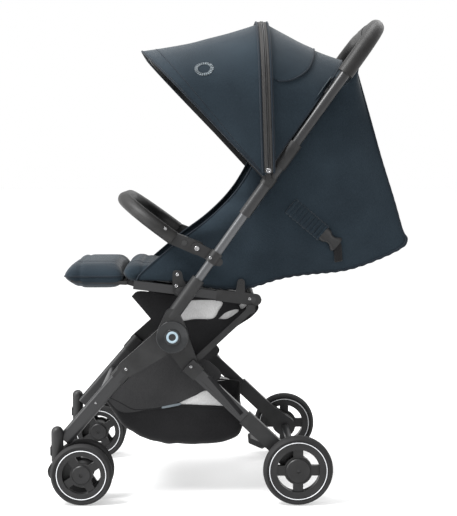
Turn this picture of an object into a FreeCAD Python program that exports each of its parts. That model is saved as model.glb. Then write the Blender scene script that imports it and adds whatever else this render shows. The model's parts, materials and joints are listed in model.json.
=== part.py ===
import FreeCAD, Part
import os
from math import atan2, cos, degrees, hypot, radians, sin, sqrt

# Folding baby stroller.  Millimetres.  +Z up, the front of the stroller is -Y, its left side is +X.
# The model is laid out with Y = 0 on the rear axle, then moved along Y so that its box is centred.

Vec = FreeCAD.Vector
X_AXIS = Vec(1, 0, 0)
Z_AXIS = Vec(0, 0, 1)

# ---- clearances ----
GAP = 0.3                    # between neighbouring faces of different bodies
FIT = 0.10                   # radial play of a turning pin in its bore

# ---- overall sizes ----
TRACK = 470.0                # between the middle planes of the rear wheels
HUB_FORWARD = 262.0          # fold axis in front of the rear axle
HUB_HEIGHT = 354.0           # fold axis above the floor

# ---- wheels ----
REAR_WHEEL_R = 73.5
REAR_TYRE_WIDTH = 26.0
REAR_RIM_R = 61.5
REAR_WINDOW_R = 45.0
REAR_BOSS_R = 26.0
REAR_SPOKE_WIDTH = 21.0
REAR_SPOKE_TURN = 0.0
FRONT_WHEEL_R = 65.0
FRONT_TYRE_WIDTH = 20.0
FRONT_RIM_R = 53.0
FRONT_WINDOW_R = 40.0
FRONT_BOSS_R = 20.0
FRONT_SPOKE_WIDTH = 17.0
FRONT_SPOKE_TURN = 33.0
WHEEL_PIN_R = 4.0
SPOKES = 4

# ---- casters ----
STEM_FORWARD = 505.5         # swivel axis in front of the rear axle
STEM_INSET = 30.0            # swivel axis inside the rear wheels' middle plane
CASTER_TRAIL = 52.5
CASTER_FORK_WIDTH = 24.0
CASTER_WHEEL_OFFSET = 26.0   # middle plane of each twin wheel from the stem plane
HOUSING_R = 13.0
HOUSING_BOTTOM = 88.0
HOUSING_TOP = 157.0
STEM_PIN_R = 6.0

# ---- frame tubes ----
REAR_LEG_HEIGHT = 26.0
REAR_LEG_THICKNESS = 16.0
REAR_LEG_WALL = 1.5
REAR_LEG_UPPER = (36.8, -67.5)   # the leg's upper end from the fold axis, as (Y, Z)
FRONT_LEG_HEIGHT = 30.0
FRONT_LEG_THICKNESS = 17.0
FRONT_LEG_WALL = 1.5
FRONT_LEG_TOP = (-98.0, -71.0)   # from the fold axis, as (Y, Z)
FRONT_CROSS_R = 7.0
FRONT_CROSS_RUN = 0.45       # place of the cross bar along the front leg
AXLE_BAR_R = 8.0
PEDAL_X = (92.0, 148.0)
PEDAL_ANGLE = 156.6          # above horizontal, to the rear of the axle bar
PEDAL_REACH = 104.0
TUBE_INSET = 16.0            # handle tube plane inside the rear wheels' middle plane
HANDLE_ANGLE = 54.5          # above horizontal
SLEEVE_TOP = (54.5, 120.0)   # from the fold axis, as (Y, Z)
LOWER_TUBE_R = 9.5
LOWER_TUBE_WALL = 1.2
SLEEVE_WALL = 4.5            # of the hub housing round the lower tube
LOWER_TUBE_REACH = 240.0     # beyond the sleeve
UPPER_TUBE_WALL = 1.2
OUTER_TUBE_WALL = 1.5        # round the upper tube
OUTER_TUBE_START = 163.0     # distances along the handle line from the sleeve's top
OUTER_TUBE_END = 312.0
HANDLE_REACH = 644.0
HANDLE_CORNER_R = 80.0
HANDLE_TRAVEL = 90.0
GRIP_START = 520.0
GRIP_THICKNESS = 6.0
CANOPY_PIVOT_RUN = 249.0

# ---- hub stack, from the handle plane inwards ----
PLATE = 9.0                  # thickness of the leg arms
HUB_R = 34.0
ARM_HUB_R = 30.0
HUB_HALF = 12.7              # half the housing's thickness
HUB_PIN_R = 6.0
CAP_R = 17.0
STRUT_THICKNESS = 5.0
RAIL_WIDTH = 12.0

# ---- seat ----
SEAT_PIVOT = (15.0, 92.0)    # from the fold axis
RAIL_FRONT = (-83.0, 104.0)
RAIL_REAR = (187.0, 70.0)
RAIL_HEIGHT = 18.0
RAIL_END_LENGTH = 96.0
RAIL_END_HEIGHT = 24.0
STRUT_TOP = (164.0, 52.0)
STRUT_BOTTOM = (37.0, -66.0)
STRUT_R = 10.0
SEAT_PAD_THICKNESS = 30.0
CALF_LENGTH = 132.0
CALF_PAD_THICKNESS = 28.0
BACK_LENGTH = 345.0
BACK_ANGLE = 14.0
BACK_HINGE = (144.0, 108.0)
BACK_PAD_THICKNESS = 26.0
BOARD = 8.0
HARNESS_X = 32.0             # inner edge of each shoulder pad
HARNESS_WIDTH = 30.0
BUCKLE_RUN = 122.0           # along the rail from its front end
FABRIC = 2.0

# ---- canopy, measured from its pivot on the handle tube ----
CANOPY_CLEARANCE = 24.0      # from the handle tube plane to the canopy's side
CANOPY_CORNER_R = 135.0
FRONT_BOW = (381.0, 134.0)   # (height, angle)
MIDDLE_BOW = (338.0, 91.9)
REAR_EDGE = (302.0, 60.0)
BOW_THICKNESS = 2.5
BOW_WIDTH = 10.0
FRONT_BOW_DROP = 15.0        # below the fabric's crown
MIDDLE_BOW_DROP = 6.0

# ---- bumper bar ----
BUMPER_PIVOT = (51.5, 183.0)
BUMPER_START = (2.0, 203.0)
BUMPER_ANGLE = 143.4
BUMPER_REACH = 134.0
BUMPER_R = 15.0
BUMPER_CORNER_R = 108.0
ADAPTOR_WIDTH = 16.0
ADAPTOR_R = 14.5
COLLAR_RUN = 55.0
COLLAR_LENGTH = 26.0

# ---- places worked out from the sizes ----
HUB = (-HUB_FORWARD, HUB_HEIGHT)
REAR_AXLE = (0.0, REAR_WHEEL_R)


def from_hub(offset):
    return (HUB[0] + offset[0], HUB[1] + offset[1])


def along(point, angle, distance):
    return (point[0] + distance * cos(radians(angle)), point[1] + distance * sin(radians(angle)))


def heading(start, end):
    return degrees(atan2(end[1] - start[1], end[0] - start[0]))


def span(start, end):
    return hypot(end[0] - start[0], end[1] - start[1])


STEM_X = TRACK / 2 - STEM_INSET
TUBE_X = TRACK / 2 - TUBE_INSET
CANOPY_HALF_WIDTH = TUBE_X + CANOPY_CLEARANCE
UPPER_TUBE_R = LOWER_TUBE_R + GAP + UPPER_TUBE_WALL
OUTER_TUBE_R = UPPER_TUBE_R + OUTER_TUBE_WALL
GRIP_R = UPPER_TUBE_R + GRIP_THICKNESS
SLEEVE_R = LOWER_TUBE_R + SLEEVE_WALL
HOUSING_IN = TUBE_X - HUB_HALF
HOUSING_OUT = TUBE_X + HUB_HALF
FRONT_ARM_X = (HOUSING_IN - GAP - PLATE, HOUSING_IN - GAP)
REAR_ARM_X = (FRONT_ARM_X[0] - GAP - PLATE, FRONT_ARM_X[0] - GAP)
STRUT_X = (REAR_ARM_X[0] - 0.5 - STRUT_THICKNESS, REAR_ARM_X[0] - 0.5)
RAIL_X = (STRUT_X[0] - 0.5 - RAIL_WIDTH, STRUT_X[0] - 0.5)
SEAT_HALF = RAIL_X[0] - FABRIC - 2 * GAP
REAR_LEG_X = (REAR_ARM_X[0], REAR_ARM_X[0] + REAR_LEG_THICKNESS)
FRONT_LEG_X = FRONT_ARM_X[1] - FRONT_LEG_THICKNESS / 2

SLEEVE_END = from_hub(SLEEVE_TOP)
REAR_LEG_TOP = from_hub(REAR_LEG_UPPER)
REAR_LEG_ANGLE = 180 - heading(REAR_AXLE, REAR_LEG_TOP)     # above horizontal, rising forward
FRONT_LEG_START = from_hub(FRONT_LEG_TOP)
STEM = (-STEM_FORWARD, HOUSING_TOP)
FRONT_LEG_END = (STEM[0] + 14.0, HOUSING_TOP - 26.0)
FRONT_AXLE = (-STEM_FORWARD + CASTER_TRAIL, FRONT_WHEEL_R)
SEAT_AXIS = from_hub(SEAT_PIVOT)
BACK_AXIS = from_hub(BACK_HINGE)
BUMPER_AXIS = from_hub(BUMPER_PIVOT)
RAIL_ANGLE = heading(RAIL_FRONT, RAIL_REAR)
FRONT_ROD = along(from_hub(RAIL_FRONT), RAIL_ANGLE, 9.0)
REAR_ROD = along(from_hub(RAIL_REAR), 180 + RAIL_ANGLE, 18.0)
ROD_R = 6.0


def handle_point(run):
    return along(SLEEVE_END, HANDLE_ANGLE, run)


CANOPY_AXIS = handle_point(CANOPY_PIVOT_RUN)
FRONT_CROSS = along(FRONT_LEG_START, heading(FRONT_LEG_START, FRONT_LEG_END),
                    span(FRONT_LEG_START, FRONT_LEG_END) * FRONT_CROSS_RUN)

# Axes and travels of the moving parts, in (Y, Z) from the rear axle.
FOLD_ANGLE = 84.0
FRONT_LEG_CLOSING = 50.0
SEAT_TURN = 55.0
STRUT_TURN = 58.4
RECLINE_TRAVEL = 50.0
CALF_TRAVEL = 70.0
CANOPY_TRAVEL = 60.0


# ---- shape helpers ----
def at(x, point):
    return Vec(x, point[0], point[1])


def rod(x0, x1, point, radius):
    """Cylinder along X between two X planes."""
    return Part.makeCylinder(radius, x1 - x0, at(x0, point), X_AXIS)


def run_rod(x, start, end, radius):
    """Cylinder in a plane of constant X."""
    axis = at(x, end) - at(x, start)
    return Part.makeCylinder(radius, axis.Length, at(x, start), axis)


def outline(points, x0, x1):
    """Polygon in the YZ plane, extruded along X."""
    wire = Part.makePolygon([at(x0, p) for p in points + points[:1]])
    return Part.Face(wire).extrude(Vec(x1 - x0, 0, 0))


def bar(start, end, height, x0, x1):
    """Rectangular bar in the YZ plane, centred on its line."""
    angle = heading(start, end)
    low = height / 2
    corners = [along(start, angle - 90, low), along(end, angle - 90, low),
               along(end, angle + 90, low), along(start, angle + 90, low)]
    return outline(corners, x0, x1)


def lobe(start, radius_a, end, radius_b, x0, x1):
    """Plate with two round ends joined by tangent sides."""
    length = span(start, end)
    angle = heading(start, end)
    swing = degrees(atan2(sqrt(max(length ** 2 - (radius_a - radius_b) ** 2, 0.0)), radius_a - radius_b))
    sides = [along(start, angle + swing, radius_a), along(end, angle + swing, radius_b),
             along(end, angle - swing, radius_b), along(start, angle - swing, radius_a)]
    plate = outline(sides, x0, x1).fuse([rod(x0, x1, start, radius_a), rod(x0, x1, end, radius_b)])
    return plate.removeSplitter()


def fused(shapes):
    return shapes[0].fuse(shapes[1:]).removeSplitter() if len(shapes) > 1 else shapes[0]


def pick(shape, edges_like, radius):
    """Fillet the edges that the test accepts."""
    edges = [edge for edge in shape.Edges if edges_like(edge)]
    return shape.makeFillet(radius, edges) if edges else shape


def side_edges(edge):
    """Edges that lie in a plane of constant X."""
    box = edge.BoundBox
    return box.XLength < 0.01


def mirrored(shape):
    return shape.mirror(Vec(0, 0, 0), X_AXIS)


def both(shape):
    """The piece and its mirror image, as two solids of one node."""
    return Part.makeCompound([shape, mirrored(shape)])


def loop_wire(half_width, angle, origin, start, reach, corner_r):
    """U-shaped line: up one side, round a corner, across and down again."""
    def place(x, run):
        return at(x, along(origin, angle, run))

    side = corner_r * (1 - cos(radians(45)))
    knee = reach - corner_r
    edges = [
        Part.LineSegment(place(half_width, start), place(half_width, knee)).toShape(),
        Part.Arc(place(half_width, knee), place(half_width - side, reach - side),
                 place(half_width - corner_r, reach)).toShape(),
        Part.LineSegment(place(half_width - corner_r, reach), place(corner_r - half_width, reach)).toShape(),
        Part.Arc(place(corner_r - half_width, reach), place(side - half_width, reach - side),
                 place(-half_width, knee)).toShape(),
        Part.LineSegment(place(-half_width, knee), place(-half_width, start)).toShape(),
    ]
    return Part.Wire(edges)


def loop_tube(wire, radius):
    """Round bar along a U-shaped line."""
    first = wire.Edges[0]
    start = first.valueAt(first.FirstParameter)
    direction = first.tangentAt(first.FirstParameter)
    profile = Part.Wire(Part.makeCircle(radius, start, direction))
    return wire.makePipeShell([profile], True, False)


# ---- wheels ----
def tyre(x, axle, radius, rim_r, width):
    half = width / 2
    shoulder = radius - half * 0.55
    points = [(rim_r, -half * 0.8), (shoulder, -half), (shoulder, half), (rim_r, half * 0.8)]
    corners = [Vec(x + side, axle[0], axle[1] + r) for r, side in points]
    crown = Part.Arc(corners[1], Vec(x, axle[0], axle[1] + radius), corners[2]).toShape()
    edges = [Part.makeLine(corners[0], corners[1]), crown,
             Part.makeLine(corners[2], corners[3]), Part.makeLine(corners[3], corners[0])]
    return Part.Face(Part.Wire(edges)).revolve(at(x, axle), X_AXIS, 360)


def rim(x, axle, rim_r, window_r, boss_r, width, spoke_width, turn):
    half = width / 2
    ring = rod(x - half * 0.8, x + half * 0.8, axle, rim_r)
    ring = ring.cut(rod(x - half, x + half, axle, window_r))
    dish = rod(x - half * 0.5, x + half * 0.5, axle, boss_r + 4)
    boss = rod(x - half * 0.9, x + half * 0.9, axle, boss_r)
    boss = boss.makeChamfer(2.0, [edge for edge in boss.Edges if side_edges(edge)])
    arms = []
    for index in range(SPOKES):
        angle = turn + index * 360.0 / SPOKES
        arms.append(bar(along(axle, angle, boss_r - 4), along(axle, angle, window_r + 2), spoke_width,
                        x - half * 0.45, x + half * 0.45))
    wheel = fused([ring, dish, boss] + arms)
    return wheel.cut(rod(x - half, x + half, axle, WHEEL_PIN_R + FIT))


def add_wheel(nodes, name, x, axle, front):
    if front:
        radius, rim_r, window_r, boss_r = FRONT_WHEEL_R, FRONT_RIM_R, FRONT_WINDOW_R, FRONT_BOSS_R
        width, spoke, turn = FRONT_TYRE_WIDTH, FRONT_SPOKE_WIDTH, FRONT_SPOKE_TURN
    else:
        radius, rim_r, window_r, boss_r = REAR_WHEEL_R, REAR_RIM_R, REAR_WINDOW_R, REAR_BOSS_R
        width, spoke, turn = REAR_TYRE_WIDTH, REAR_SPOKE_WIDTH, REAR_SPOKE_TURN
    nodes[name + "_tyre"] = tyre(x, axle, radius, rim_r, width)
    nodes[name + "_rim"] = rim(x, axle, rim_r, window_r, boss_r, width, spoke, turn)


def wheels(nodes):
    for side, sign in (("left", 1), ("right", -1)):
        add_wheel(nodes, "rear_" + side, sign * TRACK / 2, REAR_AXLE, False)
        for place, offset in (("outer", CASTER_WHEEL_OFFSET), ("inner", -CASTER_WHEEL_OFFSET)):
            add_wheel(nodes, "front_" + side + "_" + place, sign * (STEM_X + offset), FRONT_AXLE, True)


# ---- rear frame ----
def rear_frame(nodes):
    leg_angle = -REAR_LEG_ANGLE
    leg_end = along(REAR_AXLE, 180 + leg_angle, 34.0)
    leg = bar(REAR_LEG_TOP, leg_end, REAR_LEG_HEIGHT, *REAR_LEG_X)
    inner_x = (REAR_LEG_X[0] + REAR_LEG_WALL, REAR_LEG_X[1] - REAR_LEG_WALL)
    hollow = bar(REAR_LEG_TOP, leg_end, REAR_LEG_HEIGHT - 2 * REAR_LEG_WALL, *inner_x)
    groove = bar(along(REAR_LEG_TOP, leg_angle, 34.0), along(leg_end, 180 + leg_angle, 55.0), 12.0,
                 REAR_LEG_X[1] - 0.8, REAR_LEG_X[1] + 1)
    nodes["rear_legs"] = both(leg.cut(hollow).cut(groove))

    end = along(REAR_LEG_TOP, leg_angle, 24.0)
    plate = lobe(HUB, ARM_HUB_R, REAR_LEG_TOP, 18.0, *REAR_ARM_X)
    socket = bar(along(REAR_LEG_TOP, 180 + leg_angle, 7.0), end, REAR_LEG_HEIGHT + 6,
                 REAR_ARM_X[0], REAR_LEG_X[1] + 2.5)
    arm = fused([plate, socket]).cut(bar(REAR_LEG_TOP, leg_end, REAR_LEG_HEIGHT, *REAR_LEG_X))
    arm = arm.cut(rod(REAR_ARM_X[0] - 1, REAR_ARM_X[1] + 1, HUB, HUB_PIN_R))
    screw = rod(REAR_LEG_X[1] + 2.5, REAR_LEG_X[1] + 4.0, along(REAR_LEG_TOP, leg_angle, 8.0), 5.0)
    nodes["rear_arms"] = both(fused([arm, screw]))

    socket_start = along(REAR_AXLE, 180 + leg_angle, 152.0)
    shell = bar(socket_start, leg_end, REAR_LEG_HEIGHT + 6, REAR_LEG_X[0] - 3, REAR_LEG_X[1] + 3)
    housing = lobe(along(REAR_AXLE, 180 + leg_angle, 46.0), 17.0, REAR_AXLE, 24.0,
                   REAR_LEG_X[0] - 3, TRACK / 2 - REAR_TYRE_WIDTH / 2 - 3)
    whole = fused([shell, housing]).cut(bar(REAR_LEG_TOP, leg_end, REAR_LEG_HEIGHT, *REAR_LEG_X))
    whole = whole.cut(rod(REAR_LEG_X[0] - 4, TRACK / 2, REAR_AXLE, WHEEL_PIN_R))
    nodes["rear_wheel_sockets"] = both(whole)

    inner_face = REAR_LEG_X[0] - 3
    cross = rod(-inner_face, inner_face, REAR_AXLE, AXLE_BAR_R)
    pin_end = TRACK / 2 + REAR_TYRE_WIDTH / 2 - 4
    nodes["rear_axle_bar"] = fused([cross, rod(-pin_end, pin_end, REAR_AXLE, WHEEL_PIN_R)])

    pin = rod(REAR_ARM_X[0], HOUSING_OUT - 4, HUB, HUB_PIN_R)
    nodes["hub_pins"] = both(pin)


def brake(nodes):
    """Foot pedal that turns on the axle bar."""
    x0, x1 = PEDAL_X
    sleeve = rod(x0, x1, REAR_AXLE, AXLE_BAR_R + 5).cut(rod(x0 - 1, x1 + 1, REAR_AXLE, AXLE_BAR_R + FIT))
    tip = along(REAR_AXLE, PEDAL_ANGLE, PEDAL_REACH)
    arm = bar(along(REAR_AXLE, PEDAL_ANGLE, AXLE_BAR_R + 2), tip, 8.0, x0 + 16, x1 - 16)
    tread = lobe(along(tip, PEDAL_ANGLE + 180, 26.0), 6.0, tip, 6.0, x0, x1)
    nodes["brake_pedal"] = fused([sleeve, arm, tread])


# ---- front frame ----
def oval_tube(start, end, height, thickness, x):
    """Bar with half-round edges along its length."""
    flat = height - thickness
    body = bar(start, end, flat, x - thickness / 2, x + thickness / 2)
    angle = heading(start, end)
    edges = []
    for turn in (90, -90):
        edges.append(run_rod(x, along(start, angle + turn, flat / 2), along(end, angle + turn, flat / 2),
                             thickness / 2))
    return fused([body] + edges)


def front_frame(nodes):
    leg = oval_tube(FRONT_LEG_START, FRONT_LEG_END, FRONT_LEG_HEIGHT, FRONT_LEG_THICKNESS, FRONT_LEG_X)
    hollow = oval_tube(FRONT_LEG_START, FRONT_LEG_END, FRONT_LEG_HEIGHT - 2 * FRONT_LEG_WALL,
                       FRONT_LEG_THICKNESS - 2 * FRONT_LEG_WALL, FRONT_LEG_X)
    housing = rod_z(STEM_X, STEM[0], HOUSING_BOTTOM, HOUSING_TOP, HOUSING_R)
    nodes["front_legs"] = both(leg.cut(hollow).cut(housing))

    angle = heading(FRONT_LEG_START, FRONT_LEG_END)
    plate = lobe(HUB, ARM_HUB_R, FRONT_LEG_START, 18.0, *FRONT_ARM_X)
    cup = oval_tube(along(FRONT_LEG_START, angle, -9.0), along(FRONT_LEG_START, angle, 30.0),
                    FRONT_LEG_HEIGHT + 5, FRONT_LEG_THICKNESS + 5, FRONT_LEG_X)
    keep_in = Part.makeBox(FRONT_ARM_X[1] - FRONT_LEG_X + 20, 400, 400,
                           Vec(FRONT_LEG_X - 20, HUB[0] - 300, 100))
    arm = fused([plate, cup.common(keep_in)]).cut(leg)
    arm = arm.cut(rod(FRONT_ARM_X[0] - 1, FRONT_ARM_X[1] + 1, HUB, HUB_PIN_R + FIT))
    screw = rod(FRONT_ARM_X[1], FRONT_ARM_X[1] + 1.5, along(FRONT_LEG_START, angle, 6.0), 5.0)
    nodes["front_arms"] = both(fused([arm, screw]))

    edge = FRONT_LEG_X - FRONT_LEG_THICKNESS / 2
    nodes["front_cross_bar"] = rod(-edge, edge, FRONT_CROSS, FRONT_CROSS_R)

    dome = Part.makeSphere(HOUSING_R, Vec(STEM_X, STEM[0], HOUSING_TOP - HOUSING_R * 0.6))
    cap = rod_z(STEM_X, STEM[0], HOUSING_TOP - HOUSING_R * 0.6, HOUSING_TOP + HOUSING_R, HOUSING_R)
    body = rod_z(STEM_X, STEM[0], HOUSING_BOTTOM, HOUSING_TOP - HOUSING_R * 0.6, HOUSING_R)
    body = fused([body, dome.common(cap)])
    ear = Part.makeBox(12, 7, 20, Vec(STEM_X - 6, STEM[0] - HOUSING_R - 1.5, HOUSING_BOTTOM + 12))
    corner = Vec(STEM_X - 4 - GAP, STEM[0] - HOUSING_R - 3, HOUSING_BOTTOM + 11)
    slot = Part.makeBox(8 + 2 * GAP, 5, 22, corner)
    body = fused([body, ear]).cut(slot)
    bore = rod_z(STEM_X, STEM[0], HOUSING_BOTTOM - 1, HOUSING_TOP - 12, STEM_PIN_R + FIT)
    nodes["caster_housings"] = both(body.cut(bore))


def rod_z(x, y, z0, z1, radius):
    return Part.makeCylinder(radius, z1 - z0, Vec(x, y, z0), Z_AXIS)


def casters(nodes):
    half = CASTER_FORK_WIDTH / 2
    top = HOUSING_BOTTOM - GAP
    for side, sign in (("left", 1), ("right", -1)):
        crown = (STEM[0], top - 20.0)
        arm = lobe(crown, 20.0, FRONT_AXLE, 20.0, STEM_X - half, STEM_X + half)
        stem = rod_z(STEM_X, STEM[0], top - 12, HOUSING_TOP - 14, STEM_PIN_R)
        reach = CASTER_WHEEL_OFFSET + FRONT_TYRE_WIDTH / 2 - 3
        axle = rod(STEM_X - reach, STEM_X + reach, FRONT_AXLE, WHEEL_PIN_R)
        collar = rod(STEM_X - half - 2, STEM_X + half + 2, FRONT_AXLE, 12.0)
        fork = fused([arm, stem, axle, collar])
        nodes["caster_fork_" + side] = fork if sign > 0 else mirrored(fork)

        front = STEM[0] - HOUSING_R
        lock = Part.makeBox(8, 3.0, 16, Vec(STEM_X - 4, front - 2.2, HOUSING_BOTTOM + 14))
        nodes["swivel_lock_" + side] = lock if sign > 0 else mirrored(lock)


# ---- main frame: hub housings and lower handle tubes ----
def main_frame(nodes):
    knee = handle_point(-95.0)
    plate = lobe(HUB, HUB_R, knee, 16.0, HOUSING_IN, HOUSING_OUT)
    sleeve = run_rod(TUBE_X, handle_point(-100.0), SLEEVE_END, SLEEVE_R)
    limit = Part.makeBox(HOUSING_OUT + 2 - HOUSING_IN, 400, 500, Vec(HOUSING_IN, HUB[0] - 200, 200))
    seat_boss = lobe(SEAT_AXIS, 9.0, handle_point(-30.0), 9.0, HOUSING_IN, HOUSING_IN + 6)
    body = fused([plate, sleeve.common(limit), seat_boss])
    socket = run_rod(TUBE_X, handle_point(-80.0), handle_point(5.0), LOWER_TUBE_R)
    hub_bore = rod(HOUSING_IN - 1, HOUSING_OUT - 4, HUB, HUB_PIN_R + FIT)
    spacer = rod(RAIL_X[1] + 0.5, HOUSING_IN, SEAT_AXIS, 8.0)
    pin = rod(RAIL_X[0] - 2, HOUSING_IN, SEAT_AXIS, 4.0)
    nodes["hub_housings"] = both(fused([body.cut(socket).cut(hub_bore), spacer, pin]))

    tube = run_rod(TUBE_X, handle_point(-80.0), handle_point(LOWER_TUBE_REACH), LOWER_TUBE_R)
    bore_r = LOWER_TUBE_R - LOWER_TUBE_WALL
    bore = run_rod(TUBE_X, handle_point(-81.0), handle_point(LOWER_TUBE_REACH + 1), bore_r)
    nodes["lower_tubes"] = both(tube.cut(bore))

    cap = rod(HOUSING_OUT, HOUSING_OUT + 4.0, HUB, CAP_R)
    cap = pick(cap, side_edges, 1.5)
    ring = rod(HOUSING_OUT + 3.2, HOUSING_OUT + 5, HUB, CAP_R - 5).cut(
        rod(HOUSING_OUT + 3, HOUSING_OUT + 6, HUB, CAP_R - 8))
    nodes["hub_caps"] = both(cap.cut(ring))

    centre = handle_point(COLLAR_RUN)
    low = handle_point(COLLAR_RUN - COLLAR_LENGTH / 2)
    high = handle_point(COLLAR_RUN + COLLAR_LENGTH / 2)
    band = run_rod(TUBE_X, low, high, LOWER_TUBE_R + 3.5)
    plate_x = (adaptor_x()[1] + 0.5, TUBE_X - 6.0)
    ear = lobe(centre, 12.0, BUMPER_AXIS, 12.0, *plate_x)
    tab = lobe(centre, 10.0, along(centre, HANDLE_ANGLE - 98.0, 13.5), 8.5, TUBE_X - 5, TUBE_X + 8)
    collar = fused([band, ear, tab]).cut(run_rod(TUBE_X, low, high, LOWER_TUBE_R).fuse(
        run_rod(TUBE_X, handle_point(0), handle_point(2 * COLLAR_RUN), LOWER_TUBE_R)))
    pivot = rod(adaptor_x()[0] - 2, plate_x[0], BUMPER_AXIS, WHEEL_PIN_R)
    nodes["tube_collars"] = both(fused([collar, pivot]))


def adaptor_x():
    outer = HOUSING_IN - 2.8
    return (outer - ADAPTOR_WIDTH, outer)


# ---- seat frame ----
def seat_frame(nodes):
    front = from_hub(RAIL_FRONT)
    rear = from_hub(RAIL_REAR)
    split = along(rear, 180 + RAIL_ANGLE, RAIL_END_LENGTH)
    rail = bar(front, split, RAIL_HEIGHT, *RAIL_X)
    rail = rail.cut(rod(RAIL_X[0] - 1, RAIL_X[1] + 1, SEAT_AXIS, WHEEL_PIN_R + FIT))
    rail = rail.cut(rod(RAIL_X[0] - 1, RAIL_X[1] + 1, FRONT_ROD, ROD_R))
    nodes["seat_rails"] = both(rail)

    block = bar(split, along(rear, 180 + RAIL_ANGLE, 12.0), RAIL_END_HEIGHT, *RAIL_X)
    nose = rod(RAIL_X[0], RAIL_X[1], along(rear, 180 + RAIL_ANGLE, 12.0), RAIL_END_HEIGHT / 2)
    lug = lobe(from_hub(STRUT_TOP), 9.0, along(from_hub(STRUT_TOP), 80, 16), 11.0, *RAIL_X)
    bracket = lobe(BACK_AXIS, 8.0, along(BACK_AXIS, -95.0, 24.0), 10.0, *RAIL_X)
    end = fused([block, nose, lug, bracket]).cut(rod(RAIL_X[0] - 1, RAIL_X[1] + 1, REAR_ROD, ROD_R))
    end = end.cut(rod(RAIL_X[0] - 1, RAIL_X[1] + 1, BACK_AXIS, WHEEL_PIN_R + FIT))
    nodes["seat_rail_ends"] = both(end)

    rods = [rod(-RAIL_X[1], RAIL_X[1], FRONT_ROD, ROD_R), rod(-RAIL_X[1], RAIL_X[1], REAR_ROD, ROD_R)]
    nodes["seat_cross_rods"] = Part.makeCompound(rods)

    bottom = from_hub(STRUT_BOTTOM)
    top = from_hub(STRUT_TOP)
    flat = bar(bottom, top, 13.0, *STRUT_X)
    ends = [rod(*STRUT_X, bottom, STRUT_R), rod(*STRUT_X, top, STRUT_R)]
    nodes["seat_struts"] = both(fused([flat] + ends))


def soft_block(points, half_width, radius):
    """Cushion with rounded edges from its side outline."""
    block = outline(points, -half_width, half_width)
    return block.makeFillet(radius, block.Edges)


def seat_soft(nodes):
    half = SEAT_HALF
    top = RAIL_HEIGHT / 2 + GAP + 1.5
    front = along(along(from_hub(RAIL_FRONT), RAIL_ANGLE, -6.0), RAIL_ANGLE + 90, top)
    rear_run = BACK_AXIS[0] - from_hub(RAIL_FRONT)[0] - 24.0
    rear = along(along(from_hub(RAIL_FRONT), RAIL_ANGLE, rear_run), RAIL_ANGLE + 90, top)
    pad = [front, rear, along(rear, RAIL_ANGLE + 90, SEAT_PAD_THICKNESS),
           along(front, RAIL_ANGLE + 90, SEAT_PAD_THICKNESS)]
    nodes["seat_pad"] = soft_block(pad, half, 8.0)

    hinge = FRONT_ROD
    board_start = (hinge[0] - ROD_R - 19.0, hinge[1] + 2.0)
    board_end = (board_start[0] - CALF_LENGTH + 14.0, board_start[1] + 6.0)
    board = bar(board_start, board_end, BOARD, -half + 14, half - 14)
    arm_x = half - 40.0
    arms = []
    for sign in (1, -1):
        x0, x1 = sorted((sign * arm_x, sign * (arm_x + 14.0)))
        arms.append(lobe(hinge, ROD_R + 3.0, board_start, 4.0, x0, x1))
    frame = fused([board] + arms).cut(rod(-half, half, hinge, ROD_R + FIT))
    nodes["calf_rest_frame"] = frame

    lift = BOARD / 2 + GAP
    calf_low = (board_start[0] - 4.5, board_start[1] + lift + 0.4)
    calf_tip = (board_end[0] - 12.0, board_end[1] + lift + 0.8)
    calf = [calf_low, calf_tip, (calf_tip[0] + 4.0, calf_tip[1] + CALF_PAD_THICKNESS * 0.85),
            (calf_low[0], calf_low[1] + CALF_PAD_THICKNESS)]
    nodes["calf_pad"] = soft_block(calf, half, 8.0)


def backrest(nodes):
    half = SEAT_HALF - 4.0
    start = along(BACK_AXIS, BACK_ANGLE, 4.0)
    end = along(BACK_AXIS, BACK_ANGLE, BACK_LENGTH)
    lift = BACK_ANGLE + 90
    board = bar(along(start, BACK_ANGLE, 8.0), end, BOARD, -half, half)
    spine = rod(-half, half, BACK_AXIS, 7.0)
    web = bar(BACK_AXIS, along(BACK_AXIS, BACK_ANGLE, 16.0), BOARD, -half, half)
    pins = rod(-RAIL_X[1], RAIL_X[1], BACK_AXIS, WHEEL_PIN_R)
    nodes["backrest_frame"] = fused([board, spine, web, pins])

    low = along(along(BACK_AXIS, BACK_ANGLE, 24.0), lift, BOARD / 2 + GAP)
    high = along(along(BACK_AXIS, BACK_ANGLE, BACK_LENGTH - 4.0), lift, BOARD / 2 + GAP)
    pad = [low, high, along(high, lift, BACK_PAD_THICKNESS), along(low, lift, BACK_PAD_THICKNESS)]
    nodes["back_pad"] = soft_block(pad, half - 2.0, 8.0)


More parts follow.
